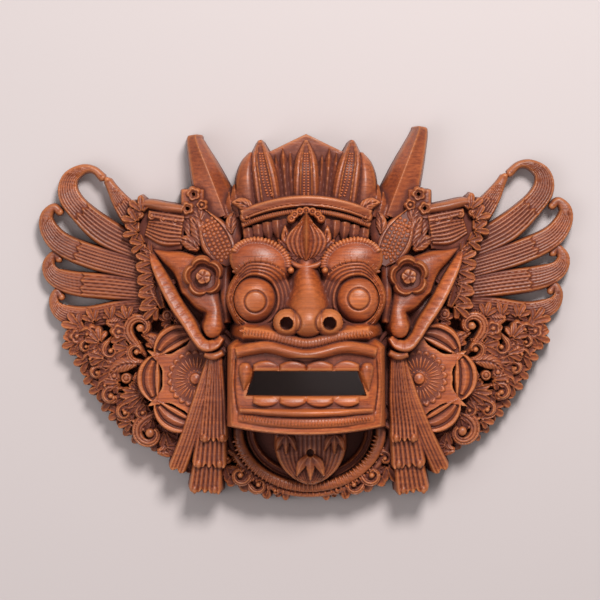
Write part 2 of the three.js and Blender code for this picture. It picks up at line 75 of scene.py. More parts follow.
WALL_LEFT = 13.0  # wood left between the hollow back and the face
BACK = 0.05  # height of the flat back over the wall
GROUND_EDGE, GROUND_RISE = 8.0, 22.0  # height of the board at its rim, and its rise further in
GROUND_SLOPE = 90  # how far in from the rim the board rises
WING_LIFT, WING_ROOT = 0.045, 95.0  # the right wing is carved this much steeper, from this far out
HEAD = dict(top=92, chin=-105.5, crown_half=49, cheek_half=71, taper=0.14, forehead=64, snout=97,
            snout_top=-8, snout_bottom=-30, snout_bulge=0.0046, temple_half=64, jaw_top=20, jaw_blend=9,
            chin_bow=9, brow_bulge=0.011, top_slope=6, end_round=8, flank_round=22, round=9)
BROW = dict(u=37.5, y=42, radius_u=26.5, radius_y=19.5, depth=82, high=15, tilt=0.28, crest=0.87)
EYE = dict(u=42.3, y=11, radius=17.2, height=18.8, bulge=14, depth=87, iris=9.1,
           gaze=((0.8, -1.8), (0.6, 0.4)), folds=((3.6, 1.3), (6.0, 1.3), (8.6, 1.3)), top_fold=(11.2, 1.2),
           fold_width=0.65, slit=2.8, reach=14)
NOSE = dict(x=1.5, top=46, tip=-8, bridge=21, width=27, depth=107, wing=11.5, nostril=5.2, spread=17)
MOUTH = dict(half=43, fang_half=49, top=-47.5, bottom=-67.5)
LIP = dict(half=57, upper=(-32.5, -28, -34, -29.2), lower=(-79, -80.6, -81.2, -79.6), band=9, stand=9,
           bristles=(-15.5, -19.5, -25, -17), beard=(-85.5, -88.2, -89, -86.6))
TOOTH = dict(count=4, height=9, stand=4, fang=22, fang_width=11)
HORN = dict(root_u=71, root_y=80, root_width=37, tip_width=12, tips=((94, 150), (96, 157)), depth=40)
CROWN = dict(half=35, shoulder=135, peak=152, depth=36, fin=22, fin_depth=60, fin_top=143, foot=30,
             lean=8.5)
BRIM = dict(half=50, y=92, fall=10, band=9.5, depth=70, drop=8.2)
JEWEL = dict(y=61, top=81, bottom=41, depth=78)
FLOWER = dict(u=85, y=30, radius=17.5, petals=5, depth=60)
SUN = dict(u=92, y=-55, radius=25, rays=30, star=47, depth=42, lens=40, lens_width=18, lens_reach=38)
BEARD = dict(x=3.5, top=-92, bottom=-143)
COLLAR = dict(half=60, top=-98, bottom=-146, band=11, depth=38)
FEATHER_THICK = 9

EAR = [[131, 54, 3, 34], [122, 44, 17, 42], [112, 32, 29, 49], [99.8, 17.8, 38, 54], [86.5, 4, 45, 57],
       [82, -13, 32, 53], [78, -25, 13, 48]]
EAR_RIM = [[131, 54, 4, 36], [125.5, 40, 8, 45], [117, 23.5, 10.5, 52], [107.5, 6.5, 11, 57],
           [97.5, -8, 10.5, 61], [90.5, -20, 9, 64], [83.5, -27, 9.5, 66], [75.5, -26, 8.5, 66],
           [70, -20.5, 5, 64]]
EAR_FLANK = [[128, 53, 3, 35], [117, 47, 10, 43], [103, 40, 20, 50], [89.5, 27, 33, 55], [83, 12.5, 23, 58],
             [77, 3, 13, 60], [76.5, -5, 13, 63], [77.3, -12.5, 15, 64], [77.5, -19.5, 9, 60]]
TEMPLE = [[58, 84, 9, 44], [60, 66, 13, 48], [66, 42, 9, 52], [67, 14, 8, 58], [66, -8, 7, 54]]
SCALED = [[63, 40, 8, 56], [70, 52, 26, 52], [78, 68, 26, 48], [87, 86, 5, 42]]
BLOCK = [[95, 79, 18, 42], [95, 103, 19, 40]]
LEAF_PANEL = [[102, 70, 34, 40], [120, 72, 40, 37], [138, 78, 30, 31]]
POD = [[122, 42, 4, 36], [126, 22, 12, 40], [120, 4, 5, 40]]
FEATHERS = [
    [[132, 66, 15, 28], [146, 80, 18, 25], [157, 94, 14, 22], [164, 105, 9, 20], [168, 112, 7, 19]],
    [[136, 52, 19, 28], [168, 67, 23, 24], [191, 86, 19, 21], [201, 100, 18, 19], [200, 113, 14, 18],
     [190, 121, 9, 17], [180, 121, 6, 17], [172, 114, 7, 17]],
    [[138, 36, 19, 27], [177, 46, 20, 23], [205, 57, 19, 20], [217, 69, 16, 18], [220, 81, 11, 17],
     [214, 89, 7, 16], [208, 85, 7, 16]],
    [[138, 19, 19, 26], [166, 22, 21, 23], [197, 25, 20, 19], [213, 31, 16, 17], [218, 41, 11, 16],
     [213, 50, 6, 15], [209, 45, 7, 15]],
    [[136, 4, 16, 26], [158, 1, 18, 23], [186, -4, 18, 19], [206, 0, 15, 17], [213, 10, 10, 16],
     [211, 18, 6, 15], [207, 13, 6, 15]],
]
GROUND_RIM = [
    [44, 118], [58, 104], [100, 98], [104, 84], [134, 88], [150, 62], [160, 30], [158, 2], [196, -16],
    [196, -34], [184, -60], [164, -88], [140, -110], [104, -119], [70, -134], [36, -148], [0, -151],
]

# Small forms of the lower field and the beard. Fans: place, angle, length, top.
FIELD_FANS = (
    ([150, -20], 20, 16, 33), ([148, -30], -30, 16, 33), ([127, -30], 100, 12, 36),
    ([157, -44], 5, 16, 31), ([146, -57], 200, 12, 33), ([134, -76], -30, 15, 32),
    ([146, -92], 20, 14, 30), ([118, -100], 250, 14, 32), ([118, -112], 190, 14, 31),
    ([104, -118], 240, 15, 30), ([112, -8], 60, 14, 36), ([126, 0], 20, 15, 34),
    ([172, -24], -60, 13, 29), ([186, -22], -50, 13, 26), ([168, -42], 170, 12, 30),
    ([166, -58], -70, 13, 29), ([190, -12], 8, 17, 23), ([178, -8], 60, 13, 26),
    ([164, -6], 100, 12, 29), ([192, -24], -20, 15, 23), ([150, -6], 70, 13, 32),
)
# Scrolls: place, radius, first angle, sense of turn, tail, top.
FIELD_SCROLLS = (
    ([139, -13], 11.5, 320, 1, 22, 35), ([142, -33], 8.0, 280, 1, 16, 35),
    ([131, -101], 12.5, 60, -1, 22, 33), ([164, -70], 7.5, 100, -1, 14, 30),
    ([152, -84], 7.0, 90, -1, 12, 31), ([137, -84], 6.0, 60, -1, 10, 32),
    ([178, -33], 7.0, 120, -1, 12, 28), ([164, -32], 7.0, 40, -1, 10, 31),
    ([175, -51], 6.5, 150, -1, 12, 28),
)
SCROLL_BEADS = ((2, -20, 150), (0, -110, 110), (1, -110, 110))  # scroll, first and last angle of its beads
BEARD_FANS = (  # place, angle, length, top, fingers, spread, fall
    ([54, -130], 262, 21, 33, 5, 150, 5), ([35, -140], 262, 17, 32, 5, 150, 5),
    ([68, -128], 300, 16, 33, 5, 130, 5), ([18, -145], 265, 13, 31, 5, 130, 4),
)
BEARD_SCROLLS = (
    ([55, -136], 8, 200, 1, 10, 36), ([40, -144], 7, 330, -1, 10, 35),
    ([66, -122], 6, 120, -1, 9, 36), ([26, -149], 5.5, 20, 1, 9, 33),
)
# Flowers and knobs: place, radius, top. Leaves: place, angle, length, width, top.
FIELD_FLOWERS = (([193, -20], 7, 25), ([179, -17], 7.5, 28), ([157, -16], 7.5, 33))
FIELD_KNOBS = (([161, -53], 4.4, 32), ([151, -55], 4.4, 33), ([140, -55], 4.4, 34), ([99, -110], 5.5, 33),
               ([116, -2], 4.6, 38), ([115, -13], 4.2, 38))
FIELD_LEAVES = (([142, -43], -22, 26, 12, 36), ([125, -117], 150, 24, 12, 31), ([120, -34], 40, 24, 10, 38),
                ([168, -8], 165, 20, 10, 32))

# How golden the wood of a form is, from the outer carving, which gets a darker, painted bluish sky reflection
# (0), to the rubbed face (1).
GOLDEN = dict(face=1.0, sun=0.85, ear=0.8, jewel=0.8, ear_flower=0.5, crown=0.3, leafwork=0.25, panels=0.2,
              tassels=0.4, beard=0.4, **{f"feather_{k}": 0.15 for k in range(1, 6)})


def on_side(side, place):
    """Puts [u, y, ...] on the left (-1) or right (1) side, with the lift of the right wing."""
    u, y, *rest = place
    lift = WING_LIFT * max(0, u - WING_ROOT) if side > 0 else 0
    return [side * u, y + lift, *rest]


def placed(side, spine):
    """The same for each place of a spine."""
    return [on_side(side, p) for p in spine]


# Curves and blends


def smoothstep(value, low, high):
    t = np.clip((value - low) / (high - low), 0, 1)
    return t * t * (3 - 2 * t)


def soft_max(a, b, blend):
    t = np.clip(0.5 + 0.5 * (a - b) / blend, 0, 1)
    return b + (a - b) * t + blend * t * (1 - t)


def soft_min(a, b, blend):
    return -soft_max(-a, -b, blend)


def eased(value, knots):
    """Height through knots of (place, height) with a level tangent at each knot."""
    places, heights = np.array(knots, float).T
    k = np.clip(np.searchsorted(places, value, "right") - 1, 0, len(places) - 2)
    t = np.clip((value - places[k]) / (places[k + 1] - places[k]), 0, 1)
    return heights[k] + (heights[k + 1] - heights[k]) * (0.5 - 0.5 * np.cos(np.pi * t))


def hump(away, width):
    """1 where away is 0, and less on both sides of it."""
    return np.exp(-((away / width) ** 2))


def creased(s, count):
    """1 in the sharp creases between ribs that stand side by side across a strip, 0 on the ribs' backs."""
    return 1 - np.abs(np.sin(np.pi * count * (s + 1) / 2))


def spline(points, per=8):
    """A smooth curve through rows of numbers."""
    p = np.asarray(points, float)
    if len(p) == 2:
        return p
    p = np.vstack([2 * p[0] - p[1], p, 2 * p[-1] - p[-2]])
    t = np.linspace(0, 1, per, endpoint=False)[:, None]
    rows = []
    for a, b, c, d in zip(p, p[1:], p[2:], p[3:]):
        bend = 2 * a - 5 * b + 4 * c - d
        twist = 3 * b - a - 3 * c + d
        rows.append(0.5 * (2 * b + (c - a) * t + bend * t**2 + twist * t**3))
    return np.vstack([*rows, p[-2:-1]])


# Sections across a strip: the drop below its top at s, from -1 to 1 across, and t, from 0 to 1 along.


def rounded(drop=4.0, power=2.6):
    """A back that falls to both sides."""
    return lambda s, t: drop * np.abs(s) ** power


def ribbed(count, deep=1.2, drop=2.5):
    """Ribs side by side along the strip."""
    return lambda s, t: drop * s**4 + deep * creased(s, count)


def ridged(drop=5.0):
    """A roof with one sharp ridge."""
    return lambda s, t: drop * np.abs(s)


def hollowed(deep=3.5, rim=0.8):
    """A gouged channel between two rims."""
    return lambda s, t: (deep * (1 - np.clip(np.abs(s) / rim, 0, 1) ** 2)
                         + 5 * np.clip(np.abs(s) - rim, 0, 1))


def veined(veins=6, deep=1.0, drop=3.0):
    """A leaf: a groove along its middle and slanting veins on both halves."""
    def section(s, t):
        wave = np.abs(np.sin(np.pi * (veins * t - 1.6 * np.abs(s))))
        return drop * s**2 + deep * (1 - wave) + 1.6 * hump(s, 0.16)
    return section


def knotted(knots):
    """Through knots of (s, drop)."""
    return lambda s, t: eased(s, knots)


class Relief:
    """The heights of one carved form over its own part of the ruled board."""

    def __init__(self, low, high, floor=ROOT):
        self.i = slice(*np.searchsorted(XS, (low[0], high[0])))
        self.j = slice(*np.searchsorted(YS, (low[1], high[1])))
        self.x, self.y = np.meshgrid(XS[self.i], YS[self.j])
        self.top = np.full(self.x.shape, LOW)
        self.floor = np.full(self.x.shape, float(floor))
        # Painted shade in the cuts of the form, from 0 to 1.
        self.stain_and_shade = np.zeros(self.x.shape)

    def window(self, low, high):
        """The cells between two corners."""
        return (slice(*np.searchsorted(self.y[:, 0], (low[1], high[1]))),
                slice(*np.searchsorted(self.x[0], (low[0], high[0]))))

    def raise_to(self, part, height, blend=0.0):
        """Lifts a part of the form to a height where that is higher, with a soft join over the blend."""
        old = self.top[part]
        self.top[part] = soft_max(old, height, blend) if blend else np.maximum(old, height)

    def follow(self, spine, margin=9.0):
        """For each cell near a spine: offset, half width, top, place along it and the way past its ends."""
        points = spline(spine)
        reach = points[:, 2].max() / 2 + margin
        part = self.window(points[:, :2].min(0) - reach, points[:, :2].max(0) + reach)
        x, y = self.x[part], self.y[part]
        steps = np.hypot(*np.diff(points[:, :2], axis=0).T)
        run = np.concatenate([[0], np.cumsum(steps)]) / steps.sum()
        best = np.full(x.shape, 1e9)
        offset, half, top, place, past = (np.zeros(x.shape) for _ in range(5))
        last = len(steps) - 1
        for k, length in enumerate(steps):
            (x0, y0, w0, z0), (x1, y1, w1, z1) = points[k], points[k + 1]
            dx, dy = (x1 - x0) / length, (y1 - y0) / length
            raw = (x - x0) * dx + (y - y0) * dy
            side = dx * (y - y0) - dy * (x - x0)
            held = np.clip(raw, 0, length)
            away = np.hypot(side, raw - held)
            nearer = away < best
            beyond = np.zeros(x.shape)
            if k == 0:
                beyond = np.maximum(beyond, -raw)
            if k == last:
                beyond = np.maximum(beyond, raw - length)
            share = held / length
            best = np.where(nearer, away, best)
            offset = np.where(nearer, np.where(beyond > 0, side, np.sign(side) * away), offset)
            half = np.where(nearer, (w0 + (w1 - w0) * share) / 2, half)
            top = np.where(nearer, z0 + (z1 - z0) * share, top)
            place = np.where(nearer, run[k] + (run[k + 1] - run[k]) * share, place)
            past = np.where(nearer, beyond, past)
        return part, offset, np.maximum(half, 0.3), top, place, past, steps.sum()

    def strip(self, spine, section, wall=WALL, blend=0.0, scallops=0, fringe=0.0, stained=0.0):
        """Lays a section along a spine. Its end can be scalloped and its middle darkened with painted shade.
        """
        part, offset, half, top, place, past, total = self.follow(spine)
        s = np.clip(offset / half, -1, 1)
        if fringe:
            notch = fringe * creased(s, scallops)
            past = np.maximum(past, (place - 1) * total + past + notch)
        out = np.maximum(np.abs(offset) - half, 0)
        height = top - section(s, place) - wall * (out + past)
        core = (np.abs(s) < stained) & (past <= 0)
        self.stain_and_shade[part] = np.where(height > self.top[part], core, self.stain_and_shade[part])
        self.raise_to(part, height, blend)

    def groove(self, points, width, deep):
        """Cuts a line that runs out softly at both ends."""
        spine = [[*p[:2], width, 0] for p in points]
        part, offset, half, _, place, past, _ = self.follow(spine, 2.0)
        fade = np.clip(np.minimum(place, 1 - place) * 8 + 0.3, 0, 1)
        self.top[part] -= deep * fade * np.exp(-((offset / (0.55 * half)) ** 2) - (past / half) ** 2)

    def lump(self, centre, radii, blend=0.0, turn=0.0):
        """Adds the upper half of an ellipsoid."""
        (x, y, z), (a, b, c) = centre, radii
        reach = max(a, b) + 1
        part = self.window((x - reach, y - reach), (x + reach, y + reach))
        dx, dy = self.x[part] - x, self.y[part] - y
        way_x, way_y = math.cos(turn), math.sin(turn)
        q = ((dx * way_x + dy * way_y) / a) ** 2 + ((dy * way_x - dx * way_y) / b) ** 2
        height = np.where(q < 1, z + c * np.sqrt(np.maximum(1 - q, 0)), LOW)
        self.raise_to(part, height, blend)

    def disc(self, centre, radius, height, wall=WALL):
        """A round form: height(share of the radius, angle); radius is a number or a rule of the angle."""
        x, y = centre
        reach = (radius if np.isscalar(radius) else radius(np.linspace(0, 2 * np.pi, 90)).max()) + 8
        part = self.window((x - reach, y - reach), (x + reach, y + reach))
        dx, dy = self.x[part] - x, self.y[part] - y
        r, angle = np.hypot(dx, dy), np.arctan2(dy, dx)
        rim = radius if np.isscalar(radius) else radius(angle)
        z = height(np.minimum(r / rim, 1), angle) - wall * np.maximum(r - rim, 0)
        self.raise_to(part, z)

    def pit(self, centre, radius, bottom):
        """Drills a round hole."""
        x, y = centre
        part = self.window((x - radius - 3, y - radius - 3), (x + radius + 3, y + radius + 3))
        r = np.hypot(self.x[part] - x, self.y[part] - y)
        self.top[part] = np.minimum(self.top[part], bottom + WALL * np.maximum(r - radius, 0))


def beside(side, near, far, low, high):
    """A relief on one side of the face, over u from near to far and y from low to high."""
    return Relief((min(side * near, side * far), low), (max(side * near, side * far), high))


# Small forms of the leaf carving


def leaf(relief, side, place, angle, length, width, top, veins=5, fall=5.0, bend=0.15):
    """A veined leaf that grows from a place at an angle in degrees."""
    u, y = place
    way = math.radians(angle)
    out = np.array([math.cos(way), math.sin(way)])
    across = np.array([-out[1], out[0]]) * bend * length
    spine = []
    for t, w in ((0, 0.35), (0.3, 0.95), (0.6, 0.9), (0.85, 0.5), (1, 0.12)):
        p = np.array([u, y]) + out * length * t + across * math.sin(math.pi * t)
        spine.append([*p, width * w, top - fall * t * t])
    relief.strip(placed(side, spine), veined(veins, 0.9, 2.2))


def palmette(relief, side, place, angle, length, top, fingers=5, spread=120, fall=4.0):
    """A fan of gouged fingers that grow from one root, the middle one longest."""
    u, y = place
    for k in range(fingers):
        share = 2 * k / (fingers - 1) - 1
        way = math.radians(angle + share * spread / 2)
        reach = length * (1 - 0.3 * share * share)
        broad = length * 0.34 * math.sqrt(spread / 120 * 5 / fingers) * (1.15 - 0.2 * abs(share))
        spine = []
        for t, w in ((0.1, 0.4), (0.45, 0.8), (0.75, 1.0), (0.93, 0.7), (1, 0.2)):
            turn = way + 0.3 * share * t
            spine.append([u + reach * t * math.cos(turn), y + reach * t * math.sin(turn), broad * w,
                          top + 1.2 * (1 - abs(share)) - fall * t * t])
        relief.strip(placed(side, spine), hollowed(1.6, 0.78))


def scroll(relief, side, place, radius, start, sense, tail, top, turns=0.78, band=0.72):
    """A curl that winds in to a round knob, with its tail running off straight."""
    u, y = place
    spine = []
    count = 9
    for k in range(count):
        angle = math.radians(start) + sense * 2 * math.pi * turns * k / (count - 1)
        r = radius * (1 - 0.62 * k / (count - 1))
        spine.append([u + r * math.cos(angle), y + r * math.sin(angle),
                      radius * band * (1 - 0.55 * k / count), top + 1.5 * k / count])
    way = math.radians(start) - sense * math.pi / 2
    first = spine[0]
    for share in (0.5, 1.0):
        spine.insert(0, [first[0] + tail * share * math.cos(way), first[1] + tail * share * math.sin(way),
                         first[2] * (1 - 0.7 * share), top - 2 * share])
    relief.strip(placed(side, spine), lambda s, t: 2.6 * s**2 + 1.2 * hump(np.abs(s) - 0.45, 0.14))
    x, y = on_side(side, [u, y])
    relief.lump((x, y, top), (radius * 0.3, radius * 0.3, 2.6))


def knob(relief, side, place, radius, top):
    """A round boss with a ring cut into it."""
    x, y = on_side(side, place)
    relief.disc((x, y), radius, lambda q, a: top - 2.4 * q**3 - 1.4 * hump(q - 0.55, 0.12))


def small_flower(relief, side, place, radius, top, petals=6):
    x, y = on_side(side, place)
    rim = lambda a: radius * (0.82 + 0.18 * np.abs(np.sin(petals * a / 2)))
    knots = [(0, 1.5), (0.22, 1), (0.34, -1.8), (0.7, 0.4), (1, -2.2)]
    relief.disc((x, y), rim, lambda q, a: top + eased(q, knots)
                - 0.9 * (1 - np.abs(np.sin(petals * a / 2))) * smoothstep(q, 0.3, 0.8))


# The head


def head_skin(x, y, margin=0.0):
    """Height of the plain head, or of its hollow when set in by a margin."""
    down = smoothstep(-y, -HEAD["top"], -10)
    snout = smoothstep(-y, -HEAD["snout_top"], -HEAD["snout_bottom"])
    jaw = smoothstep(-y, HEAD["jaw_top"], HEAD["jaw_top"] + HEAD["jaw_blend"])
    half = HEAD["crown_half"] + (HEAD["temple_half"] - HEAD["crown_half"]) * down - margin
    half = half + (HEAD["cheek_half"] - HEAD["temple_half"]) * jaw
    depth = HEAD["forehead"] + (HEAD["snout"] - HEAD["forehead"]) * snout - margin
    bulge = HEAD["brow_bulge"] + (HEAD["snout_bulge"] - HEAD["brow_bulge"]) * snout
    front = depth - bulge * x**2
    flank = (half - np.abs(x)) * depth / (half * HEAD["taper"])
    above = (HEAD["top"] - margin - y) * HEAD["top_slope"]
    ends = soft_min(above, chin_cut(x, y - margin), HEAD["end_round"])
    return soft_min(soft_min(front, flank, HEAD["flank_round"]), ends, HEAD["round"])


def chin_cut(x, y):
    """Height of the steep face under the chin, which bows down in the middle."""
    return (y - HEAD["chin"] - HEAD["chin_bow"] * (x / HEAD["cheek_half"]) ** 2) * WALL


def mouth_opening(x, y):
    """Distance inside the open mouth, which widens downwards."""
    a = np.abs(x)
    slant = (MOUTH["fang_half"] - MOUTH["half"]) / (MOUTH["top"] - MOUTH["bottom"])
    side = (MOUTH["half"] - a + (MOUTH["top"] - y) * slant) / math.hypot(1, slant)
    return np.minimum(np.minimum(MOUTH["top"] - y, y - MOUTH["bottom"]), side)


def carve_eye(r, side):
    """The brow, and under it the eyeball within its folded lids."""
    x, y = side * EYE["u"], EYE["y"]
    wide, tall = EYE["radius"], EYE["height"]
    level = EYE["depth"] - EYE["bulge"]
    r.lump((side * BROW["u"], BROW["y"], BROW["depth"] - BROW["high"]),
           (BROW["radius_u"], BROW["radius_y"], BROW["high"]), 7.0, side * BROW["tilt"])
    # A low ruffle runs along the upper edge of the brow.
    lean_u, lean_y = math.cos(BROW["tilt"]), math.sin(BROW["tilt"])
    for degrees in range(10, 172, 7):
        a = math.radians(degrees)
        along = BROW["crest"] * BROW["radius_u"] * math.cos(a)
        up = BROW["crest"] * BROW["radius_y"] * math.sin(a)
        u, v = BROW["u"] + along * lean_u - up * lean_y, BROW["y"] + along * lean_y + up * lean_u
        r.lump((side * u, v, BROW["depth"] - 0.55 * BROW["high"]), (3.6, 1.7, 3.4), 0.5,
               side * (a + BROW["tilt"]))
    part = r.window((x - 36, y - 40), (x + 36, y + 40))
    dx, dy = r.x[part] - x, r.y[part] - y
    q = np.hypot(dx / wide, dy / tall)
    off = (q - 1) * 0.5 * (wide + tall)
    outward = side * dx / np.maximum(np.hypot(dx, dy), 1)
    off = off * (1 + 0.9 * smoothstep(outward, 0.1, 0.9) - 0.25 * smoothstep(-outward, 0, 0.8))
    upper = smoothstep(dy / (np.abs(off) + tall), -0.5, 0.2)
    mound = level + 2.0 - 0.35 * off - 0.35 * np.maximum(off - 5 - 4 * upper, 0) ** 2
    r.top[part] = soft_max(r.top[part], np.where(off < EYE["reach"], mound, LOW), 3.0)
    folds = EYE["slit"] * hump(off - 0.2, 0.7)
    for line, deep in (*EYE["folds"], (EYE["top_fold"][0], EYE["top_fold"][1] * upper)):
        folds += deep * hump(off - line, EYE["fold_width"])
    r.top[part] += 1.2 * hump(off - 2.2, 1.1) - folds
    ball = level - 0.5 + EYE["bulge"] * np.sqrt(np.maximum(1 - q**2, 0))
    gaze = EYE["gaze"][side > 0]
    iris = np.hypot(dx - gaze[0], dy - gaze[1])
    ball -= 1.5 * hump(iris - EYE["iris"], 0.8)
    ball += 0.7 * (1 - smoothstep(iris, EYE["iris"] - 1.8, EYE["iris"] - 0.6))
    r.top[part] = np.where(off < 0, ball, r.top[part])
    # A fold sweeps below the eye.
    fold = [[side * 25, -13], [side * 33, -18], [side * 44, -20], [side * 54, -17], [side * 61, -8]]
    r.groove(fold, 2.8, 2.2)


def carve_nose(r):
    """The nose with its wings and nostrils, and a bead on either side of its root."""
    x, tip = NOSE["x"], NOSE["tip"]
    spine = [[0, NOSE["top"], NOSE["bridge"], 74], [0, 32, NOSE["bridge"], 81],
             [x, 18, NOSE["bridge"] + 3, 89], [x, tip + 9, NOSE["width"], NOSE["depth"] - 4],
             [x, tip - 4, NOSE["width"], 104]]
    r.strip(spine, rounded(13, 2.3), 3.0, 5.0)
    r.lump((x, tip + 1, NOSE["depth"] - 15), (14, 13, 15), 3.0)
    for side in (-1, 1):
        u = x + side * NOSE["spread"]
        r.lump((u, tip, NOSE["depth"] - 15), (NOSE["wing"], NOSE["wing"], 12), 1.2)
        part = r.window((u - 16, tip - 16), (u + 16, tip + 16))
        away = np.hypot(r.x[part] - u, r.y[part] - tip)
        rim = hump(away - NOSE["wing"] + 0.6, 1.0)
        r.top[part] -= 2.2 * rim * (r.y[part] > tip - 7)
        r.pit((u + side * 0.5, tip - 0.5), NOSE["nostril"] - 0.6, NOSE["depth"] - 19)
        r.lump((x + side * 14, 35, 78), (2.6, 2.6, 3.4), 0.6)


def wavy(levels, half, band, top):
    """A lip line round the front of the snout, through the levels of its corner, bow and middle."""
    return [[s * half, levels[k], band, top - 1.15 * HEAD["snout_bulge"] * (s * half) ** 2]
            for s, k in ((-1, 0), (-0.75, 3), (-0.5, 1), (0, 2), (0.5, 1), (0.75, 3), (1, 0))]


def carve_tooth(r, x, upper):
    """A tooth whose root is an arc and whose edge by the open mouth is straight."""
    half = MOUTH["half"] / TOOTH["count"]
    edge = MOUTH["top"] if upper else MOUTH["bottom"]
    part = r.window((x - half - 1, edge - 14), (x + half + 1, edge + 14))
    share, y = (r.x[part] - x) / half, r.y[part]
    root = TOOTH["height"] - 3.4 * share**2
    reach = np.minimum(root - (y - edge), y - edge) if upper else np.minimum(root - (edge - y), edge - y)
    inside = np.minimum(reach, (1 - np.abs(share)) * half)
    slope = 0 if upper else 0.3 * np.maximum(y - edge + 5, 0)
    level = HEAD["snout"] + TOOTH["stand"] - HEAD["snout_bulge"] * x**2
    z = level - 1.3 * share**2 - slope - 2.4 * np.exp(-np.maximum(inside, 0) / 0.9)
    r.raise_to(part, z + WALL * np.minimum(inside, 0))


def carve_mouth(r):
    """Lips, teeth and fangs round the open mouth."""
    front = HEAD["snout"]
    stand = front + LIP["stand"]
    r.strip(wavy(LIP["bristles"], LIP["half"] - 6, 8.5, front + 3), rounded(2.5), 3.5, 2.5)
    r.strip(wavy(LIP["upper"], LIP["half"], LIP["band"], stand), rounded(5, 2.2), 7.0)
    r.strip(wavy(LIP["lower"], LIP["half"] - 3, 6.0, stand - 2), rounded(3.5, 2.2), 4.0)
    r.strip(wavy(LIP["beard"], LIP["half"] - 2, 7.5, stand - 5), rounded(1.8), 3.0, 1.0)
    part = r.window((-MOUTH["fang_half"] - 6, LIP["lower"][0] + 1),
                    (MOUTH["fang_half"] + 6, LIP["upper"][2] - 2))
    r.top[part] = np.minimum(r.top[part], front + 1.2 - HEAD["snout_bulge"] * r.x[part] ** 2)
    for k in range(TOOTH["count"]):
        x = (2 * k + 1 - TOOTH["count"]) * MOUTH["half"] / TOOTH["count"]
        carve_tooth(r, x, True)
        carve_tooth(r, x, False)
    # The open mouth runs through to the hollow, and the fangs stand before its corners.
    part = r.window((-62, MOUTH["bottom"] - 12), (62, MOUTH["top"] + 6))
    open_by = mouth_opening(r.x[part], r.y[part])
    cut = front - WALL_LEFT - 7 - WALL * open_by
    r.top[part] = np.where(open_by > 0, np.minimum(r.top[part], cut), r.top[part])
    for side in (-1, 1):
        high, u = MOUTH["top"] + TOOTH["fang"] * 0.3, side * MOUTH["fang_half"]
        low = high - TOOTH["fang"]
        level = front - HEAD["snout_bulge"] * u**2
        fang = [[u, high, TOOTH["fang_width"] * 0.7, level + 5],
                [u, high - 4, TOOTH["fang_width"], level + 7],
                [u + side * 0.6, (high + low) / 2 - 2, TOOTH["fang_width"] * 0.72, level + 6.5],
                [u + side * 2, low, 1.5, level + 2]]
        r.strip(fang, rounded(4, 2), 8.0)
        r.groove([[side * 57.5, -36], [side * 58.5, -60], [side * 56, -82]], 2.8, 2.0)


def carve_head():
    r = Relief((-82, -108), (82, 100))
    skin = head_skin(r.x, r.y)
    r.top = np.maximum(r.top, skin)
    for side in (-1, 1):
        carve_eye(r, side)
    carve_nose(r)
    carve_mouth(r)
    # Furrows beside the mouth and folds from the wings of the nose to the cheeks.
    for side in (-1, 1):
        r.groove([[side * 60, -34], [side * 61.5, -60], [side * 60.5, -88]], 2.6, 1.5)
        r.groove([[side * 33, -8], [side * 42, -11.5], [side * 52, -9.5], [side * 59, -3]], 2.8, 1.8)
    r.top = np.minimum(r.top, soft_min(chin_cut(r.x, r.y), 200, 1))
    hollow = head_skin(r.x, r.y, WALL_LEFT)
    r.floor = np.where(hollow > 0, hollow, BACK)
    r.floor = np.where(hollow < -7 * WALL, ROOT, r.floor)
    return r


# The crown, its jewel and the horns


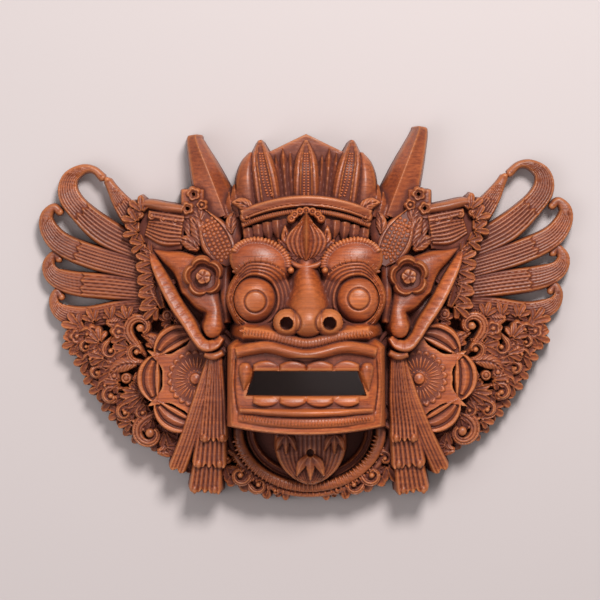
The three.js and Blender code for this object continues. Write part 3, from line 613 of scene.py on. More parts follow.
def carve_crown():
    r = Relief((-70, 56), (70, 160))
    half, shoulder, peak = CROWN["half"], CROWN["shoulder"], CROWN["peak"]
    a = np.abs(r.x)
    edge = np.minimum(peak - a * (peak - shoulder) / half, shoulder + (half - a) * 0.5) - r.y
    edge = np.minimum(np.minimum(edge, half + 18 - a), r.y - 74)
    r.top = np.maximum(r.top, np.minimum(CROWN["depth"], ROOT + WALL * edge))
    foot_y, deep = BRIM["y"] - 10, CROWN["fin_depth"]
    for side in (-1, 1):
        for lean, high in ((-5.5, 133), (0, 138), (5.5, 135)):
            r.strip([[side * 15 + lean, foot_y, 8, deep - 9], [side * 17.5 + lean, 108, 7.5, deep - 12],
                     [side * 19 + lean * 1.1, high - 10, 6, deep - 17],
                     [side * 19.5 + lean * 1.1, high, 1.5, deep - 23]], ridged(4.5))
        r.strip([[side * 46, foot_y, 19, deep - 7], [side * 49, 108, 18, deep - 7],
                 [side * 48, 124, 13, deep - 12], [side * 46, 134, 4, deep - 20]], rounded(9, 2))
        for k in range(4):
            u = 51 + 4.6 * k
            r.strip([[side * u, foot_y - 2, 9, 53 - 3 * k], [side * (u + 3), 98 - 3 * k, 8.5, 50 - 3 * k],
                     [side * (u + 4.5), 113 - 6 * k, 1.5, 44 - 3 * k]], ridged(4.5))
    channel = knotted([(-1, 12), (-0.86, 7), (-0.7, 3.4), (-0.56, 3.6), (-0.4, 0), (-0.33, 2.4),
                       (0.33, 2.4), (0.4, 0), (0.56, 3.6), (0.7, 3.4), (0.86, 7), (1, 12)])
    # The middle of each fin's channel is darkened with painted shade.
    for side in (-1, 0, 1):
        foot, tip = side * CROWN["foot"], side * (CROWN["foot"] + CROWN["lean"])
        r.strip([[foot, foot_y, CROWN["fin"] + 1, deep], [(foot + tip) / 2, 111, CROWN["fin"], deep],
                 [tip - side, 129, CROWN["fin"] * 0.78, deep - 5],
                 [tip, CROWN["fin_top"] + 1, 4, deep - 14]], channel, stained=0.34)
    # Folded petals hang from the brim over the forehead.
    for k in range(13):
        x = (k - 6) * 8.0
        y = BRIM["y"] - 13 - 9 * (x / BRIM["half"]) ** 2
        z = BRIM["depth"] - 5 - 0.004 * x * x
        r.strip([[x, y, 9, z], [x * 0.98, y - 8, 8.5, z + 1.5], [x * 0.95, y - 17, 2, z]], ridged(3.6))
    arc = [[t * BRIM["half"], BRIM["y"] - BRIM["fall"] * t * t, BRIM["band"], BRIM["depth"] + 1 - 9 * t * t]
           for t in np.linspace(-1.06, 1.06, 9)]
    r.strip(arc, knotted([(-1, 4), (-0.75, 0.9), (-0.55, 0.9), (-0.45, 1.9), (-0.35, 0.9), (0.5, 0),
                          (0.8, 0.2), (1, 4)]))
    # The low band under the brim is darkened all across with painted shadow.
    r.strip([[x, y - BRIM["drop"], 4.2, z - 3.5] for x, y, _, z in arc], rounded(1.5), stained=1.0)
    for side in (-1, 1):
        leaf(r, side, [45, BRIM["y"] - 8], 25, 18, 10, BRIM["depth"] - 8, 4)
        scroll(r, side, [49, BRIM["y"] - 13], 5, 90, -1, 8, BRIM["depth"] - 10)
    return r


def carve_jewel():
    r = Relief((-36, 28), (36, 98), 50)
    top, y = JEWEL["depth"], JEWEL["y"]
    layers = (0.34, 0.6, 0.83)

    def bud(s, t):
        a = np.abs(s)
        return 6 * a**1.4 + 1.5 * sum(hump(a - layer, 0.055) for layer in layers)

    for side in (-1, 1):
        for angle, length in ((58, 27), (30, 23), (6, 17)):
            leaf(r, side, [3, y - 12], angle, length, 10, top - 4, 4, 4, -0.2)
        scroll(r, side, [13, y - 19], 4.2, 200, -1, 8, top - 5)
    r.strip([[0, JEWEL["top"] + 2, 2, top], [0, y + 13, 12, top + 1], [0, y + 5, 27, top + 2],
             [0, y - 3, 33, top + 2], [0, y - 12, 25, top + 1],
             [0, JEWEL["bottom"] + 2, 8, top - 1]], bud)
    r.strip([[0, JEWEL["top"] + 1, 1.5, top + 3], [0, y + 5, 6, top + 8], [0, y - 10, 5, top + 6],
             [0, JEWEL["bottom"] + 3, 1, top]], ridged(6), 6.0)
    for k in range(7):
        angle = math.radians(20 + 140 * k / 6)
        at = (13 * math.cos(angle), y + 13 + 10 * math.sin(angle))
        r.disc(at, 3.2, lambda q, a: top - 2 + eased(q, [(0, 1), (0.4, -1.2), (0.7, 0.2), (1, -1.5)]))
    band = [[-16, y - 16, 3.5, 73], [-9, y - 21.5, 4.5, 76], [0, y - 23.5, 5, 78], [9, y - 21.5, 4.5, 76],
            [16, y - 16, 3.5, 73]]
    r.strip(band, rounded(2))
    return r


def carve_horn(side):
    tip = HORN["tips"][side > 0]
    root = (HORN["root_u"], HORN["root_y"])
    r = beside(side, 44, 118, 56, 168)
    mid = [(a + b) / 2 for a, b in zip(root, tip)]
    wide, deep = HORN["root_width"], HORN["depth"]
    spine = [[*root, wide, deep + 2], [mid[0] + 1, mid[1], wide * 0.72, deep],
             [tip[0] - 1, tip[1] - 8, 15, deep - 6], [tip[0], tip[1] - 0.5, HORN["tip_width"], deep - 8]]
    turn = -side
    facets = lambda s, t: np.interp(s * turn, (-1, -0.86, -0.2, 0.9, 1), (18, 12, 0, 8, 14))
    r.strip(placed(side, spine), facets)
    return r


# What stands beside the face


def carve_ear(side):
    r = beside(side, 46, 144, -44, 94)

    def curled(s, t):
        """The rim leans in to the hollow of the ear and is cut across on that side."""
        inner = 0.5 - 0.5 * side * s
        return 4.2 * inner**1.6 + 2.2 * np.abs(s) ** 5 + 0.9 * inner * np.abs(np.sin(48 * t)) ** 10

    # The hollow of the ear is darkened with painted shade.
    r.strip(placed(side, EAR), lambda s, t: 15 + 4 * (1 - s * s), stained=0.95)
    r.strip(placed(side, TEMPLE), rounded(4, 2))
    r.strip(placed(side, EAR_RIM), curled)
    r.strip(placed(side, EAR_FLANK), rounded(4.5, 3), 5.0)
    x, y = on_side(side, [77.3, -12.5])
    r.lump((x, y, 59), (7.6, 8.5, 6), 2.0)
    return r


def carve_earring(side):
    r = beside(side, 62, 108, 6, 56)
    x, y = on_side(side, [FLOWER["u"], FLOWER["y"]])
    petals = FLOWER["petals"]
    lobe = lambda a: np.abs(np.sin(petals * a / 2 + 0.3))
    rim = lambda a: FLOWER["radius"] * (0.85 + 0.15 * lobe(a) ** 0.7)

    def height(q, a):
        ring = eased(q, [(0, 3), (0.34, 2), (0.4, -6), (0.54, -7), (0.68, -1), (0.84, 2.4), (1, -2.5)])
        star = 1.2 * hump(np.sin(2.5 * a) * q, 0.07) * (q < 0.33)
        between = 3.2 * (1 - lobe(a)) ** 2 * smoothstep(q, 0.5, 0.75)
        return FLOWER["depth"] + ring - star - between

    r.disc((x, y), rim, height)
    return r


def carve_panels(side):
    """The scaled panel by the brow, the drilled block, the leaf panel and the lobes behind the ear."""
    r = beside(side, 50, 168, -12, 114)
    flat = rounded(2, 6)
    r.strip(placed(side, [[80, 6, 34, 33], [100, 30, 52, 33], [118, 56, 44, 31], [122, 72, 30, 31]]), flat)
    r.strip(placed(side, LEAF_PANEL), flat)
    r.strip(placed(side, BLOCK), rounded(1.5, 6))
    r.strip(placed(side, [[104, 66, 20, 44], [118, 68, 24, 43], [133, 72, 16, 38]]), ribbed(7, 1.8, 3))
    r.strip(placed(side, [[103, 86, 7, 46], [118, 88, 8, 45], [134, 91, 7, 41], [147, 88, 4, 37]]),
            rounded(4, 2))
    r.strip(placed(side, [[102, 78, 7, 44], [116, 80, 8, 43], [132, 83, 6, 40]]), ribbed(2, 1.4, 3))
    for u, v, radius in ((109, 77, 3.6), (119, 78.5, 3.6), (129, 81, 3.4), (139, 82, 3.2)):
        knob(r, side, [u, v], radius, 44.5 - 0.12 * (u - 105))
    fans = ((142, 84, 62), (146, 76, 36), (145, 67, 12), (140, 58, -12), (134, 50, 10))
    for k, (u, v, angle) in enumerate(fans):
        palmette(r, side, [u - 5, v], angle, 15 - 0.4 * k, 41 - 0.6 * k, 4, 100)
    for k in range(5):
        palmette(r, side, [127 - 0.8 * k, 43 - 9.5 * k], 2 - 6 * k, 17, 41 - 0.4 * k, 4, 80)
    for k in range(4):
        palmette(r, side, [119 - 3 * k, 22 - 9 * k], 175 + 8 * k, 12, 42, 4, 90)
    r.strip(placed(side, POD), hollowed(3, 0.62))
    frame = knotted([(-1, 4), (-0.88, 0.5), (-0.74, 0), (-0.68, 2.4), (0.68, 2.4), (0.74, 0), (0.88, 0.5),
                     (1, 4)])
    leaf(r, side, [97, 62], 84, 24, 13, 43, 5, 3, 0.1)
    leaf(r, side, [88, 76], 60, 18, 11, 44, 4, 3, 0.1)
    # The ground of the scaled panel is darkened with painted shade, to lie between the scales laid on later.
    r.strip(placed(side, SCALED), frame, stained=0.7)
    leaf(r, side, [88, 56], 70, 26, 13, 47, 5, 3, 0.1)
    leaf(r, side, [90, 52], 30, 20, 11, 46, 4, 3, 0.1)
    leaf(r, side, [62, 66], 100, 20, 9, 52, 4, 5, -0.1)
    small_flower(r, side, [94, 99], 6.8, 43, 5)
    small_flower(r, side, [99, 87], 6.2, 45, 5)
    small_flower(r, side, [87, 90], 5.4, 44, 5)
    for u, v in ((94, 99), (99, 87)):
        r.pit(on_side(side, [u, v])[:2], 1.1, 34)
    return r


def carve_feather(side, spine, upper):
    points = np.array(placed(side, spine))
    reach = 18
    lowest = points[:, 3].min() - FEATHER_THICK
    r = Relief(points[:, :2].min(0) - reach, points[:, :2].max(0) + reach, lowest)

    def vane(s, t):
        over = upper + 0.03 * np.abs(np.sin(1.5 * np.pi * s))
        lifted = 1 - smoothstep(t, over, over + 0.02)
        coarse = 1.3 * creased(s, 7) * lifted
        fine = 0.9 * creased(s, 8) * (1 - lifted) * (1 - smoothstep(t, 0.8, 0.97))
        return 3.0 * np.abs(s) ** 3 + coarse + fine - 2.4 * lifted

    r.strip(points, vane)
    x, y = points[-1, :2]
    r.lump((x, y, points[-1, 3] - 2.0), (2.9, 2.9, 2.9), 0.8)
    return r


# The lower field of suns, leaves and tassels, the beard and the board behind all forms


def sun_centre(side):
    """The middle of a sun; the right one stands a little further out."""
    return on_side(side, [SUN["u"] + (2 if side > 0 else 0), SUN["y"]])


def carve_sun(side):
    r = beside(side, 34, 150, -116, 6)
    centre = sun_centre(side)
    top, far = SUN["depth"], SUN["lens_reach"]
    angles = [math.radians(d) for d in (0, 60, -60, 120, -120)]

    def star(a):
        away = np.abs(a % (math.pi / 3) - math.pi / 6)
        return SUN["star"] * (0.6 + 0.4 * (1 - away / (math.pi / 6)) ** 4)

    r.disc(centre, star, lambda q, a: top + 1.2 - 0.6 * q)
    for turn in angles:
        spine = []
        for t in (-1, -0.75, -0.35, 0, 0.35, 0.75, 1):
            swing = turn + t * SUN["lens"] / 2 / far
            reach = far + 1.5 * (1 - t * t)
            spine.append([centre[0] * side + reach * math.cos(swing), SUN["y"] + reach * math.sin(swing),
                          1.5 + SUN["lens_width"] * (1 - t * t) ** 0.75, top + 1.5])
        spine = placed(side, spine)
        r.strip(spine, knotted([(-1, 3), (-0.86, 0), (-0.62, 0.3), (-0.5, 3.6), (0.5, 3.6), (0.62, 0.3),
                                (0.86, 0), (1, 3)]))
        r.strip([[x, y, w * 0.36, z - 0.6] for x, y, w, z in spine[1:-1]], ridged(1.8))

    def dial(q, a):
        rim = np.abs(np.sin(11 * a))
        level = eased(q, [(0, 6), (0.16, 5), (0.22, 1.6), (0.3, 1.2), (0.8, 1.4), (0.88, 2.6), (1, 1.9)])
        return top + level - 1.4 * (1 - rim) * (q > 0.84) - 1.6 * hump(q - 0.985, 0.03)

    r.disc(centre, lambda a: SUN["radius"] * (0.93 + 0.07 * np.abs(np.sin(11 * a))), dial)
    # The ring that the rays cover is darkened with painted shade between them.
    away = np.hypot(r.x - centre[0], r.y - centre[1]) / SUN["radius"]
    r.stain_and_shade = np.maximum(r.stain_and_shade, 0.8 * smoothstep(away, 0.22, 0.3) * (1 - smoothstep(away, 0.74, 0.84)))
    return r


def carve_leafwork(side):
    r = beside(side, 34, 224, -160, 14)
    rim = np.array(placed(side, GROUND_RIM[7:]))
    far = np.abs(r.x) / 200
    inside = np.full(r.x.shape, 1e9)
    for (x0, y0), (x1, y1) in zip(rim, rim[1:]):
        length = math.hypot(x1 - x0, y1 - y0)
        inside = np.minimum(inside, side * ((r.y - y0) * (x1 - x0) - (r.x - x0) * (y1 - y0)) / length)
    ground = np.minimum(ROOT + 4 * inside, 17 + 15 * (1 - far))
    r.top = np.maximum(r.top, np.where(r.y < 6, ground, LOW))
    # Low leaves fill the ground between the larger forms.
    pitch = 12.5
    for row in range(12):
        for column in range(12):
            u, y = 64 + pitch * (column + 0.5 * (row % 2)), 2 - pitch * row
            x, v = on_side(side, [u, y])
            cell = (int((v - r.y[0, 0]) / CELL), int((x - r.x[0, 0]) / CELL))
            if not (0 <= cell[0] < r.x.shape[0] and 0 <= cell[1] < r.x.shape[1]) or inside[cell] < 7:
                continue
            if math.hypot(u - SUN["u"], y - SUN["y"]) > SUN["star"] - 2:
                facing = (row * 101 + column * 67) % 360
                palmette(r, side, [u, y], facing, 11.5, ground[cell] + 5, 4, 130, 2)
    edge = spline(GROUND_RIM[8:14] + [[92, -124]], 12)
    steps = np.hypot(*np.diff(edge, axis=0).T)
    run = np.concatenate([[0], np.cumsum(steps)])

    def at(share, inset):
        """A place by the rim, set in from it, and the angle that points straight out there."""
        here = [np.interp(share * run[-1], run, edge[:, k]) for k in (0, 1)]
        ahead = [np.interp(share * run[-1] + 2, run, edge[:, k]) for k in (0, 1)]
        out = math.degrees(math.atan2(ahead[1] - here[1], ahead[0] - here[0])) + 90
        way = math.radians(out)
        return [here[0] - inset * math.cos(way), here[1] - inset * math.sin(way)], out

    count = 12
    for k in range(count):
        place, out = at((k + 0.5) / count, 24)
        palmette(r, side, place, out + 40 * (-1) ** k, 15, 31 - (k % 2), 5, 110, 3)
    for k in range(count + 1):
        place, out = at((k + 0.1) / count, 11)
        palmette(r, side, place, out + 10 * (-1) ** k, 14.5, 26 - 2 * (k % 2), 5, 140, 6)
        place, out = at((k + 0.1) / count, 12)
        scroll(r, side, place, 4.8, out + 60, (-1) ** k, 6, 29, 0.7, 0.8)
    for fan in FIELD_FANS:
        palmette(r, side, *fan)
    palmette(r, side, [133, -66], -18, 24, 34, 6, 44, 3)
    for scroll_form in FIELD_SCROLLS:
        scroll(r, side, *scroll_form)
    for place, radius, top in FIELD_FLOWERS:
        small_flower(r, side, place, radius, top, 5)
    for boss in FIELD_KNOBS:
        knob(r, side, *boss)
    for leaf_form in FIELD_LEAVES:
        leaf(r, side, *leaf_form, 7)
    return r


def carve_tassels(side):
    r = beside(side, 56, 134, -168, -18)
    swing = 5 if side > 0 else 0
    top_u, top_y, depth = 75, -34, 60
    fine = lambda s, t: 2.5 * s**4 + (0.5 + 0.9 * t) * creased(s, 5)
    outer = [[78, -36, 8, depth - 6], [88, -72, 12, 53], [98 + swing / 2, -104, 14, 46],
             [109 + swing, -133, 15, 38]]
    r.strip([[side * u, y, w, z] for u, y, w, z in outer], fine, scallops=2, fringe=3)
    tiers = ((85, -151, 28, 2), (81, -129, 29, 1), (77, -107, 24, 0))
    for foot_u, foot_y, width, k in tiers:
        u = foot_u + swing
        spine = [[side * top_u, top_y, 10, depth - 3 * k],
                 [side * (top_u + (u - top_u) * 0.4), (top_y + foot_y) / 2, 6 + width / 2,
                  depth - 4 - 4 * k],
                 [side * (top_u + (u - top_u) * 0.85), foot_y + 14, width - 2, 52 - 6 * k],
                 [side * u, foot_y, width, 52 - 7 * k]]
        pleat = lambda s, t: 2.5 * s**4 + (0.6 + 1.2 * t) * creased(s, 7)
        r.strip(spine, pleat, scallops=5, fringe=3.5)
        for lean in (-0.3, 0.3):
            x = side * (u + lean * width)
            r.lump((x, foot_y + 3, 50 - 7 * k), (2.6, 3.8, 3.2))
    tie = [[side * 69, -33, 5, depth + 3], [side * 76, -36, 6, depth + 5], [side * 84, -34, 5, depth + 2]]
    r.strip(tie, rounded(2.5))
    return r


def carve_beard():
    r = Relief((-80, -166), (80, -84))
    angles = np.linspace(0.95 * math.pi, 2.05 * math.pi, 17)
    for grow, band, top, section in ((0, COLLAR["band"] - 3, COLLAR["depth"], rounded(2)),
                                     (-10, 7, COLLAR["depth"] - 6, hollowed(2.5, 0.6)),
                                     (8, 5, COLLAR["depth"] - 5, rounded(2))):
        half, drop = COLLAR["half"] + grow, COLLAR["top"] - COLLAR["bottom"] + grow * 0.8
        r.strip([[3 + half * math.cos(a), COLLAR["top"] + drop * math.sin(a), band, top] for a in angles],
                section)
    behind = np.minimum(22, ROOT + WALL * (COLLAR["half"] - np.hypot(r.x, (r.y - COLLAR["top"]) * 1.2)))
    r.top = np.maximum(r.top, np.where(r.y < -86, behind, LOW))
    for side in (-1, 1):
        for fan in BEARD_FANS:
            palmette(r, side, *fan)
        for scroll_form in BEARD_SCROLLS:
            scroll(r, side, *scroll_form)
    x = BEARD["x"]
    tongue = [[x, BEARD["top"] + 2, 56, 58], [x, -112, 58, 57], [x, -128, 47, 53], [x, -138, 28, 49],
              [x, BEARD["bottom"], 9, 46]]
    r.strip(tongue, ribbed(15, 1.2, 3))
    lily = ((-20, -100, 17, 11), (20, -100, 17, 11), (0, -117, 22, 15))
    for u, y, length, width in lily:
        z = 60.5 - 0.09 * max(0, -100 - y)
        for lean in (-0.5, 0.5, 0):
            spine = [[x + u, y, 3, z],
                     [x + u + lean * width * 0.9, y - length * 0.35, width * 0.5, z + 1.5 - abs(lean)],
                     [x + u + lean * width * 1.5, y - length * (1 - 0.35 * abs(lean)), 1.2, z - 1]]
            r.strip(spine, ridged(2.2))
    r.pit((x, -116), 2.6, 50)
    return r


def carve_board():
    r = Relief((-230, -160), (230, 140), BACK)
    outline = [[x, y] for x, y in placed(1, GROUND_RIM)] + [[x, y] for x, y in placed(-1, GROUND_RIM)[::-1]]
    inside = np.zeros(r.x.shape, bool)
    away = np.full(r.x.shape, 1e9)
    for (x0, y0), (x1, y1) in zip(outline, outline[1:] + outline[:1]):
        length = math.hypot(x1 - x0, y1 - y0) or 1
        dx, dy = (x1 - x0) / length, (y1 - y0) / length
        held = np.clip((r.x - x0) * dx + (r.y - y0) * dy, 0, length)
        away = np.minimum(away, np.hypot(r.x - x0 - held * dx, r.y - y0 - held * dy))
        if y0 != y1:
            crosses = ((y0 <= r.y) != (y1 <= r.y)) & (r.x < x0 + (r.y - y0) * (x1 - x0) / (y1 - y0))
            inside ^= crosses
    signed = np.where(inside, away, -away)
    slope = GROUND_EDGE - 1 + GROUND_RISE * smoothstep(signed, 0, GROUND_SLOPE)
    r.top = np.minimum(slope, 1 + WALL * signed)
    hollow = head_skin(r.x, r.y, WALL_LEFT - 6)
    r.top = np.where(hollow > -40, np.minimum(r.top, -hollow), r.top)
    return r


# From heights to closed meshes

BOARD_STEP = 3  # the plain board keeps only each third ruled line
FACE_INNER, PLAIN_INNER = 4, 10  # spacing of the points under a form, in cells
UNDER_SHADE = 0.55  # painted shade on the underside of a form and along its foot
SHARP_DEGREES = 62  # an edge with a greater turn stays sharp
PLAIN_GOLDEN = 0.45  # for the forms that GOLDEN leaves out
# Numbers for the painted shade in the cuts and for the wear and painted highlight on edges and on the face's
# high forms.
TONE = dict(blur=2.2, slope=0.4, slope_soft=2.5, hidden=1.5, hidden_power=0.9, dip=0.11, stain_and_shade=0.4,
            edge_blur=1.2, edge_rise=1.6, open_gain=1.3, open_from=0.2, face_highlight=0.42,
            face_highlight_heights=(78, 90), face_highlight_y=(-36, -10))


def sky_view(heights, reach=26.0, ways=16):
    """Share of the sky that each cell of the board sees over its neighbours."""
    blocked = np.zeros(heights.shape)
    for way in range(ways):
        angle = 2 * math.pi * way / ways
        horizon = np.zeros(heights.shape)
        distance = CELL
        while distance < reach:
            shift = (round(distance * math.sin(angle) / CELL), round(distance * math.cos(angle) / CELL))
            other = np.roll(heights, shift, (0, 1))
            horizon = np.maximum(horizon, (other - heights) / distance)
            distance = distance * 1.45 + 0.3
        blocked += horizon / np.sqrt(1 + horizon**2)
    return 1 - blocked / ways


def blurred(field, radius):
    """Mean of a field over a square, run twice so that it has no hard edge."""
    n = max(1, round(radius / CELL))
    for _ in range(2):
        for axis in (0, 1):
            margins = [(n + 1, n) if a == axis else (0, 0) for a in (0, 1)]
            total = np.cumsum(np.pad(field, margins, "edge"), axis)
            size = field.shape[axis]
            field = (np.take(total, range(2 * n + 1, 2 * n + 1 + size), axis)
                     - np.take(total, range(size), axis)) / (2 * n + 1)
    return field


def underside(rim_places, rim_edges, inner_places):
    """Triangles that fill the rim from below, as rows of indices into rim and inner points."""
    points = [Vector(p) for p in np.vstack([rim_places, inner_places])]
    _, _, faces, origin, *_ = delaunay_2d_cdt(points, [tuple(e) for e in rim_edges.tolist()], [], 0, 1e-6)
    name = [o[0] if o else -1 for o in origin]
    triangles = [tuple(name[v] for v in f) for f in faces]
    walls = set(map(tuple, rim_edges.tolist()))
    owner = {}
    for n, (a, b, c) in enumerate(triangles):
        for edge in ((a, b), (b, c), (c, a)):
            owner[edge] = n
    kept = {owner[e] for e in walls if e in owner}
    queue = list(kept)
    while queue:
        a, b, c = triangles[queue.pop()]
        for edge in ((a, b), (b, c), (c, a)):
            if edge in walls:
                continue
            other = owner.get((edge[1], edge[0]))
            if other is not None and other not in kept:
                kept.add(other)
                queue.append(other)
    return np.array([triangles[n][::-1] for n in sorted(kept)], int)


def carved_mesh(name, relief, tone, step, inner):
    """A closed mesh of a relief: its carved top, cut off where it meets the floor, and a plain underside."""
    pick = (slice(None, None, step), slice(None, None, step))
    x, y, top, floor = (a[pick] for a in (relief.x, relief.y, relief.top, relief.floor))
    gap = top - floor
    gap[[0, -1]] = np.minimum(gap[[0, -1]], -1)
    gap[:, [0, -1]] = np.minimum(gap[:, [0, -1]], -1)
    rows, cols = gap.shape
    count = rows * cols
    index = np.arange(count).reshape(rows, cols)
    square = (np.s_[:-1, :-1], np.s_[:-1, 1:], np.s_[1:, 1:], np.s_[1:, :-1])
    a, b, c, d = (index[corner].ravel() for corner in square)
    flat, level, ground = top.ravel(), gap.ravel(), floor.ravel()
    within = level > 0
    corners = within[a].astype(int) + within[b] + within[c] + within[d]
    full, mixed = corners == 4, (corners > 0) & (corners < 4)
    turned = np.abs(flat[a] - flat[c]) > np.abs(flat[b] - flat[d])
    one, other = full & ~turned, full & turned
    faces = [np.c_[a, b, c][one], np.c_[a, c, d][one], np.c_[a, b, d][other], np.c_[b, c, d][other]]
    tri = np.vstack([np.c_[a, b, c][mixed], np.c_[a, c, d][mixed]])
    inside = within[tri].sum(1)
    faces.append(tri[inside == 3])

    def rolled(picked, first):
        """Triangles turned so that the corner numbered first comes first."""
        return picked[np.arange(len(picked))[:, None], (first[:, None] + np.arange(3)) % 3]

    single = rolled(tri[inside == 1], within[tri[inside == 1]].argmax(1))
    double = rolled(tri[inside == 2], within[tri[inside == 2]].argmin(1))
    pairs = np.vstack([single[:, [0, 1]], single[:, [0, 2]], double[:, [0, 1]], double[:, [0, 2]]])
    keys, found = np.unique(np.sort(pairs, 1) @ np.array([count, 1]), return_inverse=True)
    s1, s2, d1, d2 = np.split(found + count, np.cumsum([len(single), len(single), len(double)]))
    faces += [np.c_[single[:, 0], s1, s2], np.c_[d1, double[:, 1], double[:, 2]],
              np.c_[d1, double[:, 2], d2]]
    rim_edges = np.vstack([np.c_[s1, s2], np.c_[d2, d1]])
    p, q = keys // count, keys % count
    share = np.clip(level[p] / (level[p] - level[q]), 0.06, 0.94)
    mix = lambda field: field[p] + (field[q] - field[p]) * share
    xr, yr = x.ravel(), y.ravel()
    rim = np.c_[mix(xr), mix(yr), mix(ground)]
    coarse = np.zeros(gap.shape, bool)
    coarse[inner // 2::inner, inner // 2::inner] = True
    deep = within & (blurred((gap > 0).astype(float), CELL * 2).ravel() > 0.999) & coarse.ravel()
    under = np.c_[xr, yr, ground][deep]
    below = underside(rim[:, :2], rim_edges - count, under[:, :2])
    points = np.vstack([np.c_[xr, yr, flat], rim, under])
    below = below + count
    tris = np.vstack([*faces, below])
    used, tris = np.unique(tris, return_inverse=True)
    tris = tris.reshape(-1, 3)
    shade = np.concatenate([tone[0][relief.j, relief.i][pick].ravel(),
                            np.full(len(rim) + len(under), UNDER_SHADE)])
    shine = np.concatenate([tone[1][relief.j, relief.i][pick].ravel(), np.zeros(len(rim) + len(under))])
    place = (points[used] + [*CENTRE, 0]) / 1000
    golden = np.full(len(used), GOLDEN.get(name.split("_", 1)[-1], PLAIN_GOLDEN))
    return solid_mesh(name, place, tris, {"cut_shade_and_stain": shade[used], "edge": shine[used], "golden": golden})


def solid_mesh(name, points, triangles, tones):
    """A mesh object with one number for each point and tone."""
    mesh = bpy.data.meshes.new(name)
    mesh.vertices.add(len(points))
    mesh.vertices.foreach_set("co", points.astype(np.float32).ravel())
    mesh.loops.add(3 * len(triangles))
    mesh.loops.foreach_set("vertex_index", triangles.astype(np.int32).ravel())
    mesh.polygons.add(len(triangles))
    mesh.polygons.foreach_set("loop_start", np.arange(0, 3 * len(triangles), 3, dtype=np.int32))
    mesh.update(calc_edges=True)
    mesh.validate()
    mesh.polygons.foreach_set("use_smooth", np.ones(len(mesh.polygons), bool))
    mesh.set_sharp_from_angle(angle=math.radians(SHARP_DEGREES))
    for key, values in tones.items():
        mesh.attributes.new(key, "FLOAT", "POINT").data.foreach_set("value", values.astype(np.float32))
    piece = bpy.data.objects.new(name, mesh)
    bpy.context.scene.collection.objects.link(piece)
    return piece


# Repeated small forms, laid along a path by geometry nodes

FORM_SEGMENTS, FORM_RINGS = 6, 4
FORM_LEAST, FORM_MOST = 0.85, 1.1  # each form's size varies between these shares
FORM_WEAR, FORM_GOLDEN = 0.3, 0.6  # tones of their wood, from 0 to 1
SINK = 0.2  # how far the middle of a form lies under the wood's surface


def adder(tree):
    """A way to add nodes: inputs holds a value or a socket to link for each input, by name or number."""

    def add(kind, inputs=None, **settings):
        node = tree.nodes.new(kind)
        for key, value in settings.items():
            setattr(node, key, value)
        for key, value in (inputs or {}).items():
            if isinstance(value, bpy.types.NodeSocket):
                tree.links.new(value, node.inputs[key])
            else:
                node.inputs[key].default_value = value
        return node

    return add


def repeat_tree():
    """Small rounded forms set across a path: their number, length, width and height are inputs."""
    tree = bpy.data.node_groups.new("Forms along a path", "GeometryNodeTree")
    for way in ("INPUT", "OUTPUT"):
        tree.interface.new_socket("Geometry", in_out=way, socket_type="NodeSocketGeometry")
    for label, kind in (("Count", "Int"), ("Across", "Float"), ("Along", "Float"), ("Height", "Float"),
                        ("Seed", "Int"), ("Wood", "Material")):
        tree.interface.new_socket(label, in_out="INPUT", socket_type="NodeSocket" + kind)
    add = adder(tree)
    source = add("NodeGroupInput").outputs
    keep_way = add("GeometryNodeCaptureAttribute")
    keep_way.capture_items.new("VECTOR", "Way")
    tree.links.new(source["Geometry"], keep_way.inputs["Geometry"])
    tree.links.new(add("GeometryNodeInputTangent").outputs["Tangent"], keep_way.inputs["Way"])
    points = add("GeometryNodeCurveToPoints",
                 {"Curve": keep_way.outputs["Geometry"], "Count": source["Count"]}, mode="COUNT")
    form = add("GeometryNodeMeshUVSphere", {"Segments": FORM_SEGMENTS, "Rings": FORM_RINGS, "Radius": 1.0})
    turn = add("FunctionNodeAlignEulerToVector", {"Vector": keep_way.outputs["Way"]}, axis="Y")
    size = add("ShaderNodeCombineXYZ", {"X": source["Across"], "Y": source["Along"], "Z": source["Height"]})
    vary = add("FunctionNodeRandomValue",
               {"Min": FORM_LEAST, "Max": FORM_MOST, "Seed": source["Seed"]}, data_type="FLOAT")
    scaled = add("ShaderNodeVectorMath", {0: size.outputs["Vector"], "Scale": vary.outputs["Value"]},
                 operation="SCALE")
    spread = add("GeometryNodeInstanceOnPoints",
                 {"Points": points.outputs["Points"], "Instance": form.outputs["Mesh"],
                  "Rotation": turn.outputs["Rotation"], "Scale": scaled.outputs["Vector"]})
    whole = add("GeometryNodeRealizeInstances", {"Geometry": spread.outputs["Instances"]})
    finish = add("GeometryNodeSetMaterial",
                 {"Geometry": whole.outputs["Geometry"], "Material": source["Wood"]})
    add("NodeGroupOutput", {"Geometry": finish.outputs["Geometry"]})
    return tree


